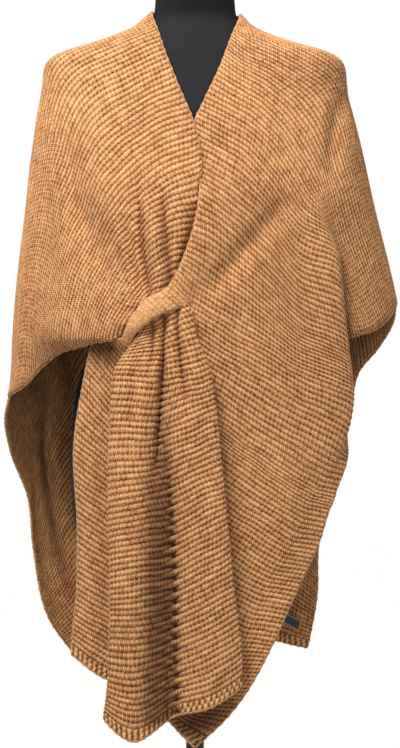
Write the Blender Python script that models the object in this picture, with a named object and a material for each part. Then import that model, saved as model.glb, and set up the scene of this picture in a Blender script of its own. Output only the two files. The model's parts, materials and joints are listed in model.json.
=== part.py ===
"""Chunky knitted poncho whose one front is pulled through a slit in the other, on a dress form.

Metres, +Z up. The front faces -Y and +X is on the viewer's right. The origin is on the floor,
at the centre of the foot's underside.
"""
import math

import bmesh
import bpy
import numpy as np

# Cloth
WALL = 0.003
SEAM_GAP = 0.0003
DOME_POWER = 2.2

# Cells across and along the panels
PULLED_CELLS_ACROSS = 24
SLOT_STRIP_CELLS = 3
SLOTTED_CELLS_ACROSS = 26
NECK_CELLS = 8
BACK_CELLS_DOWN = 20
BACK_CROWDING = 1.8

# Gathers where the pulled front passes behind the strap
PLEAT_COUNT = 4
PLEAT_DEPTH = 0.004

# Back panel
BACK_NECK_HEIGHT = 1.423
ARM_TOP = 1.33
ARM_FULL = 1.15
FLUTE_COUNT = 7
FLUTE_DEPTH = 0.013

# Label, counted in the back panel's own cells
LABEL_FIRST_COLUMN = 1
LABEL_COLUMNS = 2
LABEL_TOP = 0.28
LABEL_BOTTOM = 0.52
LABEL_THICKNESS = 0.0009

# Dress form and stand
SEAT_DROP = 0.0040
SEAT_INSET = 0.0050
CHEST_INSET = 0.0065
FORM_SEGMENTS = 40
NECK_RADIUS = 0.0565
NECK_TOP = 1.492
CAP_RADIUS = 0.050
CAP_HEIGHT = 0.012
TORSO_UNDERSIDE = 0.700
SOCKET_RADIUS = 0.026
SOCKET_HEIGHT = 0.045
POLE_RADIUS = 0.0125
FOOT_RADIUS = 0.170
FOOT_HEIGHT = 0.022
HUB_RADIUS = 0.030
HUB_HEIGHT = 0.030

KNIT_COLOUR = (0.585, 0.335, 0.165, 1.0)
LABEL_COLOUR = (0.055, 0.045, 0.040, 1.0)
FORM_COLOUR = (0.020, 0.020, 0.022, 1.0)
METAL_COLOUR = (0.050, 0.050, 0.055, 1.0)

CM = 0.01

# Hollow body that the draped cloth follows, in centimetres
OUTLINE_COLUMNS = ("level", "left", "right", "front", "back")
OUTLINE = [
    (144.2, 4.6, 4.6, 3.0, 6.0),
    (142.7, 6.2, 6.5, 4.0, 6.6),
    (140.2, 9.2, 9.0, 5.6, 7.4),
    (138.6, 13.4, 13.2, 6.5, 8.0),
    (136.9, 18.8, 18.8, 7.3, 8.6),
    (135.5, 20.7, 20.6, 7.9, 9.0),
    (132.3, 21.2, 21.1, 9.1, 10.0),
    (123.2, 22.9, 23.3, 12.0, 12.2),
    (116.3, 23.6, 24.8, 13.8, 13.0),
    (102.4, 25.2, 28.1, 14.2, 13.4),
    (98.0, 25.5, 28.9, 14.2, 13.6),
    (88.9, 26.2, 29.4, 14.3, 14.0),
    (86.0, 27.4, 29.5, 14.3, 14.1),
    (80.0, 28.4, 29.5, 14.4, 14.4),
    (40.0, 28.6, 29.6, 15.0, 15.6),
]

# Courses of the slotted front, from the shoulder line to the hem: places in centimetres on the
# front view, then lifts in millimetres off the hollow body and the steps to the next course.
SLOTTED_PLACE_COLUMNS = (
    "edge_x", "edge_z", "slit_x", "slit_z", "chest_x", "chest_z", "bust_x", "bust_z",
    "arm_x", "arm_z", "fold_x", "fold_z", "side_x", "side_z",
)
SLOTTED_PLACES = [
    (6.3, 142.3, 8.5, 140.3, 13.2, 138.5, 20.3, 135.9, 21.1, 133.2, 22.7, 125.3, 28.1, 102.2),
    (3.8, 135.5, 6.0, 133.9, 10.2, 131.6, 14.6, 127.1, 17.7, 121.8, 19.3, 115.6, 25.7, 98.6),
    (1.4, 130.2, 3.8, 128.9, 7.6, 126.7, 11.9, 122.2, 15.3, 116.8, 18.4, 112.4, 23.2, 97.6),
    (-0.3, 126.0, 2.4, 124.5, 6.3, 122.1, 10.5, 117.8, 14.5, 112.4, 19.5, 109.0, 21.8, 96.9),
    (0.4, 121.1, 2.6, 119.9, 6.3, 117.4, 10.2, 113.5, 14.3, 108.2, 19.9, 105.1, 21.0, 95.4),
    (0.6, 116.3, 2.8, 114.9, 6.3, 112.1, 10.2, 108.2, 14.5, 103.5, 20.4, 100.3, 20.3, 92.4),
    (-0.6, 110.7, 2.1, 109.3, 6.0, 106.5, 10.2, 102.8, 14.6, 98.7, 21.0, 95.1, 20.3, 89.2),
    (-3.3, 104.5, -0.6, 101.8, 5.1, 100.7, 9.9, 97.4, 14.7, 93.5, 21.6, 89.6, 21.1, 85.7),
    (-6.5, 102.2, -1.0, 97.9, 4.3, 96.0, 9.3, 92.6, 14.6, 88.9, 20.9, 85.1, 21.8, 82.3),
    (-8.6, 99.1, -2.4, 94.0, 3.2, 91.0, 8.5, 87.3, 13.8, 83.7, 19.1, 80.7, 21.3, 79.8),
    (-9.8, 97.0, -4.0, 90.5, 1.5, 87.1, 7.1, 83.2, 12.1, 79.8, 17.1, 76.9, 19.7, 76.2),
    (-11.8, 97.0, -5.1, 89.0, 0.6, 85.7, 6.1, 81.8, 11.1, 78.3, 16.0, 75.4, 19.1, 74.5),
    (-13.9, 96.7, -6.3, 87.3, -0.4, 84.0, 5.1, 80.4, 10.2, 76.9, 14.9, 73.9, 18.4, 72.9),
    (-15.9, 90.6, -8.3, 82.9, -2.6, 79.3, 2.9, 75.4, 7.9, 71.9, 12.9, 68.8, 16.8, 67.9),
    (-17.1, 81.5, -9.9, 76.2, -4.9, 72.9, 0.1, 68.8, 4.9, 65.4, 9.3, 62.7, 13.9, 61.8),
    (-16.3, 71.8, -10.4, 67.9, -6.0, 64.8, -1.5, 61.1, 2.4, 57.9, 6.3, 55.5, 10.7, 54.8),
    (-16.3, 62.7, -11.3, 59.8, -7.4, 57.3, -3.5, 54.0, 0.0, 51.2, 3.2, 49.1, 7.6, 49.0),
    (-16.8, 57.2, -12.4, 54.5, -9.0, 52.4, -5.6, 49.5, -2.5, 47.0, 0.3, 45.2, 4.3, 44.6),
    (-17.1, 53.4, -13.9, 50.9, -11.1, 49.5, -8.1, 47.7, -5.3, 45.6, -3.1, 43.7, 0.0, 40.6),
]
SLOTTED_LIFT_COLUMNS = ("edge_lift", "slit_lift", "fold_step", "side_lift", "steps")
SLOTTED_LIFTS = [
    (0, 0, 0, 0, 4),
    (0, 0, 4, 0, 3),
    (0, 0, 10, -4, 2),
    (0, 0, 16, -22, 2),
    (-1, 0, 19, -30, 2),
    (3, 1, 19, -32, 2),
    (6, 2, 18, -32, 2),
    (10, 6, 16, -28, 2),
    (27, 1, 10, -18, 2),
    (29, 0, 4, -8, 2),
    (17, 0, 0, -2, 2),
    (-1, 0, 0, 0, 2),
    (0, 0, 0, 0, 2),
    (-1, 0, 0, 0, 2),
    (-2, 0, 0, 1, 2),
    (-2, 0, 0, 2, 2),
    (-1, 0, 0, 2, 1),
    (0, 0, 0, 2, 1),
    (0, 0, 0, 2, 0),
]
SLIT_FIRST = 7
SLIT_LAST = 12

# The strap, between the slit and the front edge: its slit side where it leaves the panel
STRAP_COLUMNS = ("slit_x", "slit_z", "slit_lift")
STRAP_COURSES = [
    (-0.6, 101.8, 6),
    (-4.5, 100.3, 27),
    (-7.0, 98.5, 29),
    (-8.6, 96.3, 16),
    (-8.4, 92.9, 1),
    (-6.3, 87.3, 0),
]
STRAP_CROWN = 0.002

# Courses of the pulled front down to the strap, in the same units
PULLED_PLACE_COLUMNS = (
    "front_x", "front_z", "chest_x", "chest_z", "upper_x", "upper_z", "middle_x", "middle_z",
    "lower_x", "lower_z", "rim_x", "rim_z", "side_x", "side_z",
)
PULLED_PLACES = [
    (-6.0, 142.7, -13.2, 138.8, -21.0, 134.9, -22.7, 123.2, -24.2, 109.3, -25.3, 97.5, -26.0, 88.9),
    (-4.5, 137.8, -10.7, 134.9, -16.8, 130.9, -19.9, 121.8, -21.8, 110.0, -23.1, 98.9, -24.1, 90.4),
    (-2.4, 132.3, -8.2, 129.5, -13.6, 125.3, -17.1, 118.4, -19.6, 108.6, -21.1, 98.6, -21.8, 93.0),
    (0.0, 126.2, -5.8, 123.9, -10.8, 119.8, -14.6, 113.5, -17.4, 105.8, -18.8, 98.1, -19.1, 94.9),
    (0.9, 120.8, -4.1, 118.5, -8.8, 114.9, -12.4, 109.7, -14.9, 103.6, -16.1, 97.6, -16.4, 95.7),
    (0.3, 117.3, -3.8, 115.8, -7.9, 112.6, -11.4, 107.8, -13.7, 102.5, -14.8, 97.5, -15.0, 96.0),
    (1.4, 113.6, -3.2, 112.7, -7.0, 110.0, -10.3, 105.6, -12.5, 101.2, -13.5, 97.5, -13.6, 96.4),
    (0.3, 108.9, -2.9, 108.1, -6.1, 106.1, -8.6, 102.9, -10.4, 99.9, -11.3, 97.5, -11.4, 96.7),
    (-2.7, 104.5, -4.3, 103.9, -5.8, 103.1, -6.7, 101.8, -7.6, 100.4, -8.5, 98.9, -8.8, 98.1),
    (-2.6, 102.7, -3.7, 102.0, -4.7, 101.1, -5.4, 100.3, -6.1, 99.4, -7.0, 98.4, -7.4, 97.7),
    (-0.6, 100.1, -1.8, 99.6, -3.1, 98.9, -4.5, 98.1, -6.2, 97.3, -8.1, 96.4, -8.1, 95.8),
]
PULLED_LIFT_COLUMNS = ("front_lift", "middle_lift", "rim_lift", "side_lift", "steps")
PULLED_LIFTS = [
    (0, 0, 0, 0, 5),
    (0, 0, 3, -4, 3),
    (0, 0, 8, -8, 2),
    (4, 2, 14, -6, 2),
    (5, 4, 16, 0, 2),
    (1, 5, 16, 4, 2),
    (-6, 6, 16, 8, 2),
    (-8, 7, 14, 11, 2),
    (-4, 8, 12, 9, 1),
    (3, 11, 13, 11, 1),
    (12, 20, 20, 13, 2),
]
GATHER_COURSE = 9

# The tail below the strap: its outline and valley, and where its two sides are tucked under
TAIL_COLUMNS = (
    "right_x", "right_z", "valley_x", "valley_z", "left_x", "left_z",
    "valley_lift", "crest_lift", "tuck", "sag", "steps",
)
TAIL_COURSES = [
    (1.5, 93.7, -4.3, 92.1, -10.5, 92.2, 24, 33, 12, 0, 2),
    (2.6, 87.8, -5.1, 84.6, -11.1, 84.5, 28, 39, 18, 0, 2),
    (3.3, 80.8, -5.4, 76.9, -11.3, 75.7, 28, 42, 25, 0, 3),
    (4.2, 71.8, -4.6, 67.2, -11.1, 65.9, 27, 42, 26, 0, 3),
    (5.1, 62.0, -3.9, 57.3, -11.1, 56.2, 27, 40, 26, 0.6, 2),
    (6.0, 55.1, -3.2, 50.3, -11.5, 48.8, 26, 37, 26, 1.6, 2),
    (6.1, 49.0, -3.6, 44.8, -12.0, 44.6, 26, 35, 24, 3.2, 0),
]
TAIL_UNDER_LIFT = 0.013

# Free edges of the back panel, from the arm line's end to the hem, and its hem from left to right
BACK_LEFT_EDGE = [
    (-26.0, 88.9), (-26.7, 86.0), (-26.1, 81.5), (-23.6, 74.5),
    (-22.9, 67.6), (-20.6, 57.2), (-16.4, 51.3),
]
BACK_RIGHT_EDGE = [
    (28.1, 102.2), (28.0, 99.9), (25.9, 95.8), (23.2, 92.4), (22.0, 87.1),
    (19.6, 77.3), (17.2, 67.6), (17.0, 60.6), (15.3, 53.4),
]
BACK_HEM = [(-16.4, 51.3), (-9.0, 53.0), (0.0, 55.1), (7.6, 54.8), (15.3, 53.4)]

# Folds drawn on the front view by three points in centimetres; a ridge has a negative depth, and
# a fold that is open at its end runs out through the edge. Width and depth in millimetres.
FOLD_COLUMNS = ("x0", "z0", "x1", "z1", "x2", "z2", "width", "depth", "open_end")
PULLED_FOLDS = [
    (-8.6, 122.5, -7.8, 112.0, -6.2, 101.5, 9, 11, 0),
    (-7.0, 119.0, -6.2, 111.0, -5.0, 103.0, 8, -5, 0),
    (-7.0, 109.0, -6.2, 104.5, -5.2, 100.5, 6, 8, 0),
    (-4.2, 115.5, -3.6, 109.0, -3.7, 102.5, 9, 6, 0),
    (-18.5, 126.0, -15.9, 115.0, -9.8, 101.0, 16, 9, 0),
    (-13.9, 128.5, -12.0, 117.5, -8.3, 103.0, 12, -6, 0),
    (-21.6, 127.0, -20.5, 113.0, -18.5, 99.5, 13, 6, 0),
    (-11.5, 112.0, -9.6, 105.5, -7.4, 100.0, 8, 5, 0),
    (-4.2, 100.8, -4.4, 91.0, -5.4, 77.0, 8, 14, 0),
    (-5.1, 87.0, -5.2, 68.0, -3.7, 44.0, 11, 18, 1),
    (-2.3, 100.8, -1.5, 96.5, -0.8, 91.0, 8, 10, 0),
]
SLOTTED_FOLDS = [
    (-0.6, 101.0, 6.3, 108.5, 14.0, 117.0, 17, 11, 0),
    (20.7, 132.0, 19.4, 125.5, 18.8, 117.5, 11, 7, 0),
    (9.0, 99.0, 13.2, 77.0, 9.5, 60.0, 30, -6, 0),
    (-5.0, 90.0, -5.2, 66.0, -4.3, 45.0, 34, 14, 1),
    (-15.8, 92.0, -14.6, 76.0, -14.4, 54.0, 9, -4, 1),
    (-12.6, 92.0, -12.4, 76.0, -12.2, 54.0, 8, 4, 1),
]

# Rings of the form below the shoulders, in centimetres
FORM_COLUMNS = ("level", "half_width", "front", "back", "power")
FORM_RINGS = [
    (70.0, 16.3, 10.3, 10.8, 2.2),
    (70.6, 16.9, 10.9, 11.4, 2.2),
    (76.0, 17.4, 11.0, 11.8, 2.2),
    (80.5, 17.6, 11.1, 12.2, 2.2),
    (85.0, 17.3, 11.0, 11.8, 2.2),
    (89.4, 16.8, 10.8, 11.2, 2.2),
    (92.2, 16.0, 10.4, 10.6, 2.2),
    (96.1, 14.5, 9.8, 9.8, 2.2),
    (101.0, 13.2, 9.3, 9.0, 2.1),
    (106.5, 13.0, 9.6, 9.0, 2.1),
    (113.0, 14.2, 10.9, 9.8, 2.1),
    (119.0, 15.6, 11.7, 10.7, 2.1),
    (125.0, 16.8, 10.7, 11.0, 2.2),
    (129.5, 18.2, 9.3, 10.2, 2.2),
    (132.5, 19.8, 8.4, 9.3, 2.2),
]
SHOULDER_LEVELS = [134.4, 135.3, 136.1, 136.9, 137.7, 138.6, 139.6, 140.8, 141.9]


def clear_scene():
    """Remove every object that is there already."""
    for old in list(bpy.data.objects):
        bpy.data.objects.remove(old, do_unlink=True)


def column(table, names, name):
    """One named column of a table as an array."""
    return np.array([row[names.index(name)] for row in table], float)


def columns(table, names):
    """Every column of a table by its name."""
    return {name: column(table, names, name) for name in names}


def smooth_curve(knots, values, places, level=False):
    """Cubic curve through the values at the knots; a level one never overshoots them."""
    knots = np.asarray(knots, float)
    values = np.asarray(values, float)
    if values.ndim == 1:
        return smooth_curve(knots, values[:, None], places, level)[:, 0]
    slopes = np.gradient(values, knots, axis=0)
    if level:
        secants = np.diff(values, axis=0) / np.diff(knots)[:, None]
        before = np.vstack([secants[:1], secants])
        after = np.vstack([secants, secants[-1:]])
        limit = 3 * np.minimum(abs(before), abs(after))
        slopes = np.where(before * after <= 0, 0, np.clip(slopes, -limit, limit))
    places = np.clip(np.asarray(places, float), knots[0], knots[-1])
    cell = np.clip(np.searchsorted(knots, places, side="right") - 1, 0, len(knots) - 2)
    step = (knots[cell + 1] - knots[cell])[:, None]
    t = (places - knots[cell])[:, None] / step
    start = (1 + 2 * t) * (1 - t) ** 2
    end = t * t * (3 - 2 * t)
    return (
        start * values[cell]
        + end * values[cell + 1]
        + t * (1 - t) ** 2 * step * slopes[cell]
        - t * t * (1 - t) * step * slopes[cell + 1]
    )


def even_knots(points):
    """Knots spaced as the points of a polyline are, from 0 to 1."""
    points = np.asarray(points, float)
    steps = np.linalg.norm(np.diff(points, axis=0), axis=1)
    return np.concatenate([[0], np.cumsum(steps)]) / steps.sum()


def outline_at(levels):
    """Left and right half width, front and back depth of the hollow body at the levels."""
    table = np.array(OUTLINE[::-1], float) * CM
    found = smooth_curve(table[:, 0], table[:, 1:], levels, level=True)
    return found[:, 0], found[:, 1], found[:, 2], found[:, 3]


def dome_value(points):
    """How far points lie outside the hollow body, as a share of its size."""
    left, right, front, back = outline_at(points[:, 2])
    half = np.where(points[:, 0] < 0, left, right)
    depth = np.where(points[:, 1] < 0, front, back)
    across = (abs(points[:, 0]) / half) ** DOME_POWER
    along = (abs(points[:, 1]) / depth) ** DOME_POWER
    return (across + along) ** (1 / DOME_POWER) - 1


def dome_slope(points):
    """Gradient of the value above."""
    slope = np.zeros_like(points)
    reach = 0.00002
    for axis in range(3):
        ahead = points.copy()
        behind = points.copy()
        ahead[:, axis] += reach
        behind[:, axis] -= reach
        slope[:, axis] = (dome_value(ahead) - dome_value(behind)) / (2 * reach)
    return slope


def onto_dome(points):
    """Move points square onto the hollow body."""
    points = points.copy()
    for _ in range(8):
        slope = dome_slope(points)
        size = (slope ** 2).sum(axis=1)
        move = (dome_value(points) / size)[:, None] * slope
        length = np.linalg.norm(move, axis=1)[:, None]
        points -= move * np.minimum(1, 0.01 / np.maximum(length, 1e-9))
    return points


def dome_normal(points):
    """Unit normals of the hollow body at points on it."""
    slope = dome_slope(points)
    return slope / np.linalg.norm(slope, axis=1)[:, None]


def draped_depth(x, z, front):
    """Y of the hollow body's front or back at a place on the front view."""
    left, right, fore, aft = outline_at(z)
    half = np.where(x < 0, left, right)
    depth = np.where(front, -fore, aft)
    rest = np.clip(1 - (abs(x) / half) ** DOME_POWER, 0, 1)
    return depth * rest ** (1 / DOME_POWER)


def fold_depth(x, z, folds):
    """Sum of the folds' depths at places on the front view."""
    total = np.zeros_like(x)
    t = np.linspace(0, 1, 33)
    for row in folds:
        fold = dict(zip(FOLD_COLUMNS, row))
        line = smooth_curve(
            (0, 0.5, 1),
            [(fold["x0"], fold["z0"]), (fold["x1"], fold["z1"]), (fold["x2"], fold["z2"])],
            t,
        ) * CM
        away = np.hypot(x[:, None] - line[:, 0], z[:, None] - line[:, 1])
        nearest = away.argmin(axis=1)
        along = t[nearest]
        fade = np.sin(np.pi * along) ** 0.7
        if fold["open_end"]:
            fade = np.sin(np.pi / 2 * np.minimum(1, along * 1.4)) ** 1.5
        beside = away.min(axis=1) / (fold["width"] * 0.001)
        total += fold["depth"] * 0.001 * fade * np.exp(-beside ** 2)
    return total


def fine_rows(steps):
    """Places between table rows, each gap cut into its own number of steps."""
    rows = [0.0]
    for index, count in enumerate(steps[:-1]):
        rows.extend(index + (k + 1) / count for k in range(int(count)))
    return np.array(rows)


def raise_grid(grid, folds):
    """Settle a grid of x, y, z and lift onto the hollow body, lifted and folded."""
    flat = grid.reshape(-1, 4)
    seated = onto_dome(flat[:, :3])
    normal = dome_normal(seated)
    lift = flat[:, 3] - fold_depth(seated[:, 0], seated[:, 2], folds)
    points = seated + normal * lift[:, None]
    return points.reshape(grid.shape[0], grid.shape[1], 3)


def control_grid(courses, row_places):
    """Controls of every fine row from those of the table rows."""
    rows, columns, _ = courses.shape
    flat = courses.reshape(rows, columns * 4)
    return smooth_curve(np.arange(rows), flat, row_places).reshape(len(row_places), columns, 4)


def with_depth(x, z, lift):
    """Stack places on the front view with their draped depth and lift."""
    y = draped_depth(x.ravel(), z.ravel(), True).reshape(x.shape)
    return np.stack([x, y, z, lift], axis=-1)


def slotted_controls():
    """Controls of the slotted front's courses, from its front edge round to its side edge."""
    get = columns(SLOTTED_PLACES, SLOTTED_PLACE_COLUMNS) | columns(SLOTTED_LIFTS, SLOTTED_LIFT_COLUMNS)
    step = get["fold_step"] * 0.001
    behind_x = get["fold_x"] + 0.4 * (get["side_x"] - get["fold_x"]) - 4 * step
    behind_z = get["fold_z"] + 0.42 * (get["side_z"] - get["fold_z"])
    names = ("edge", "slit", "chest", "bust", "arm", "fold")
    x = np.stack([get[name + "_x"] for name in names] + [behind_x, get["side_x"]], 1)
    z = np.stack([get[name + "_z"] for name in names] + [behind_z, get["side_z"]], 1)
    rest = np.zeros(len(step))
    fold_lift = step * 0.3
    lift = np.stack([
        get["edge_lift"] * 0.001, get["slit_lift"] * 0.001, rest, rest, rest,
        fold_lift, fold_lift - step, get["side_lift"] * 0.001,
    ], 1)
    return with_depth(x * CM, z * CM, lift)


def slotted_panel():
    """Grid of the slotted front, a second column for the slit's far side, and its slit rows."""
    knots = np.array([0, 0.1, 0.22, 0.40, 0.57, 0.76, 0.88, 1.0])
    strip = np.linspace(0, knots[1], SLOT_STRIP_CELLS + 1)
    rest = np.linspace(knots[1], 1, SLOTTED_CELLS_ACROSS - SLOT_STRIP_CELLS + 1)
    across = np.concatenate([strip, rest[1:]])
    rows = fine_rows(column(SLOTTED_LIFTS, SLOTTED_LIFT_COLUMNS, "steps"))
    controls = control_grid(slotted_controls(), rows)

    strap_x = column(STRAP_COURSES, STRAP_COLUMNS, "slit_x") * CM
    strap_z = column(STRAP_COURSES, STRAP_COLUMNS, "slit_z") * CM
    strap_lift = column(STRAP_COURSES, STRAP_COLUMNS, "slit_lift") * 0.001
    strap = with_depth(strap_x, strap_z, strap_lift)
    strap_knots = np.arange(SLIT_FIRST, SLIT_LAST + 1)

    grid = np.zeros((len(rows), len(across), 4))
    far_side = np.zeros((len(rows), 4))
    slit_rows = [i for i, v in enumerate(rows) if SLIT_FIRST < v < SLIT_LAST]
    for i, v in enumerate(rows):
        if i in slit_rows:
            edge = controls[i, 0]
            near = smooth_curve(strap_knots, strap, [v])[0]
            share = strip / knots[1]
            grid[i, :SLOT_STRIP_CELLS + 1] = edge + share[:, None] * (near - edge)
            grid[i, :SLOT_STRIP_CELLS + 1, 3] += STRAP_CROWN * np.sin(np.pi * share)
            far = smooth_curve(knots[1:], controls[i, 1:], rest)
            far_side[i] = far[0]
            grid[i, SLOT_STRIP_CELLS + 1:] = far[1:]
        else:
            grid[i] = smooth_curve(knots, controls[i], across)
    grid[0, :, 3] = 0
    points = raise_grid(grid, SLOTTED_FOLDS)
    far_points = raise_grid(far_side[slit_rows][None], SLOTTED_FOLDS)[0]
    return points, far_points, slit_rows


def pulled_controls():
    """Controls of the pulled front's courses, then of its tail's."""
    get = columns(PULLED_PLACES, PULLED_PLACE_COLUMNS) | columns(PULLED_LIFTS, PULLED_LIFT_COLUMNS)
    names = ("front", "chest", "upper", "middle", "lower", "rim", "side")
    x = np.stack([get[name + "_x"] for name in names], 1) * CM
    z = np.stack([get[name + "_z"] for name in names], 1) * CM
    front = get["front_lift"] * 0.001
    middle = get["middle_lift"] * 0.001
    rim = get["rim_lift"] * 0.001
    side = get["side_lift"] * 0.001
    chest = 0.3 * front + 0.7 * middle
    lower = (middle + rim) / 2
    lift = np.stack([front, chest, middle, middle, lower, rim, side], 1)
    body = with_depth(x, z, lift)

    tail = columns(TAIL_COURSES, TAIL_COLUMNS)
    rx, rz, vx, vz, lx, lz = (tail[name] * CM for name in TAIL_COLUMNS[:6])
    valley = tail["valley_lift"] * 0.001
    crest = tail["crest_lift"] * 0.001
    edge = 0.55 * crest + 0.45 * TAIL_UNDER_LIFT
    under = np.full(len(rx), TAIL_UNDER_LIFT)
    tuck = tail["tuck"] * 0.001
    sag = tail["sag"] * CM
    right_crest = 0.55 * rx + 0.45 * vx
    left_crest = 0.45 * vx + 0.55 * lx
    right_height = 0.55 * rz + 0.45 * vz - 0.3 * sag
    left_height = 0.45 * vz + 0.55 * lz - sag
    x = np.stack([rx - tuck, rx, right_crest, vx, left_crest, lx, lx + tuck], 1)
    z = np.stack([rz - 0.004, rz, right_height, vz, left_height, lz, lz - 0.004], 1)
    lift = np.stack([under, edge, crest, valley, crest, edge, under], 1)
    return np.concatenate([body, with_depth(x, z, lift)])


def pulled_panel():
    """Grid of the pulled front from its shoulder line, behind the strap, to the tail's hem."""
    knots = np.linspace(0, 1, 7)
    across = np.linspace(0, 1, PULLED_CELLS_ACROSS + 1)
    steps = np.concatenate([
        column(PULLED_LIFTS, PULLED_LIFT_COLUMNS, "steps"),
        column(TAIL_COURSES, TAIL_COLUMNS, "steps"),
    ])
    rows = fine_rows(steps)
    controls = control_grid(pulled_controls(), rows)
    grid = np.stack([smooth_curve(knots, row, across) for row in controls])
    above = np.exp(-((rows - GATHER_COURSE) / 2.6) ** 2)
    below = np.exp(-((rows - GATHER_COURSE) / 1.9) ** 2)
    strength = np.where(rows < GATHER_COURSE, above, below)
    wave = np.cos(2 * np.pi * PLEAT_COUNT * across) * np.sin(np.pi * across)
    grid[:, :, 3] += PLEAT_DEPTH * strength[:, None] * wave
    grid[0, :, 3] = 0
    return raise_grid(grid, PULLED_FOLDS)


def grid_mesh(points, first=0):
    """Vertices and quads of a grid, the quads facing the cloth's outer side."""
    rows, columns, _ = points.shape
    index = first + np.arange(rows * columns).reshape(rows, columns)
    quads = []
    for i in range(rows - 1):
        for j in range(columns - 1):
            quads.append([index[i, j], index[i + 1, j], index[i + 1, j + 1], index[i, j + 1]])
    return points.reshape(-1, 3), quads, index


def vertex_normals(points, quads):
    """Unit normals of the vertices, from the quads round each."""
    corners = points[np.array(quads)]
    faces = np.cross(corners[:, 2] - corners[:, 0], corners[:, 3] - corners[:, 1])
    total = np.zeros_like(points)
    for corner in range(4):
        np.add.at(total, np.array(quads)[:, corner], faces)
    return total / np.linalg.norm(total, axis=1)[:, None]


def knit_material(name, colour, roughness, metallic=0.0):
    """A plain material in the part's colour."""
    material = bpy.data.materials.new(name)
    material.use_nodes = True
    shader = material.node_tree.nodes["Principled BSDF"]
    shader.inputs["Base Color"].default_value = colour
    shader.inputs["Roughness"].default_value = roughness
    shader.inputs["Metallic"].default_value = metallic
    material.diffuse_color = colour
    return material


def add_object(name, vertices, faces, material):
    """Link a mesh object with smooth faces."""
    mesh = bpy.data.meshes.new(name)
    mesh.from_pydata([tuple(v) for v in vertices], [], faces)
    mesh.validate()
    mesh.materials.append(material)
    mesh.shade_smooth()
    mesh.set_sharp_from_angle(angle=math.radians(50))
    thing = bpy.data.objects.new(name, mesh)
    bpy.context.scene.collection.objects.link(thing)
    return thing


def add_cloth(name, points, quads, material, normals):
    """Give a sheet its wall: an outer and an inner skin joined by rims."""
    count = len(points)
    outer = points + normals * WALL / 2
    inner = points - normals * WALL / 2
    faces = [list(quad) for quad in quads]
    faces += [[corner + count for corner in reversed(quad)] for quad in quads]
    sides = {}
    for quad in quads:
        for a, b in zip(quad, quad[1:] + quad[:1]):
            sides[(a, b)] = True
    for a, b in sides:
        if (b, a) not in sides:
            faces.append([b, a, a + count, b + count])
    return add_object(name, np.vstack([outer, inner]), faces, material)


def seam_frame(seam):
    """Shared normals of a shoulder seam, and the way from it towards the front."""
    normals = dome_normal(seam)
    along = np.gradient(seam, axis=0)
    ahead = np.cross(along, normals)
    ahead /= np.linalg.norm(ahead, axis=1)[:, None]
    ahead *= np.where(ahead[:, 1] > 0, -1, 1)[:, None]
    return normals, ahead


def blend_edges(top, hem, left, right, down):
    """Fill the space between four edges on the front view, row by row."""
    across = even_knots(top)
    v = down[:, None, None]
    u = across[None, :, None]
    rows = (1 - v) * top[None] + v * hem[None]
    sides = (1 - u) * left[:, None] + u * right[:, None]
    corners = (
        (1 - u) * (1 - v) * top[0]
        + u * (1 - v) * top[-1]
        + (1 - u) * v * hem[0]
        + u * v * hem[-1]
    )
    return rows + sides - corners


def round_places(line):
    """Front view places turned into angles round the hollow body, beside their heights."""
    left, right, _, _ = outline_at(line[:, 1])
    half = np.where(line[:, 0] < 0, left, right)
    share = np.clip(line[:, 0] / half, -1, 1)
    angle = np.sign(share) * np.arcsin(abs(share) ** (DOME_POWER / 2))
    return np.stack([angle, line[:, 1]], axis=1)


def edge_line(table, places):
    """Smooth line through a table of places in centimetres, sampled at shares of its length."""
    points = np.array(table, float) * CM
    return smooth_curve(even_knots(points), points, places)


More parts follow.
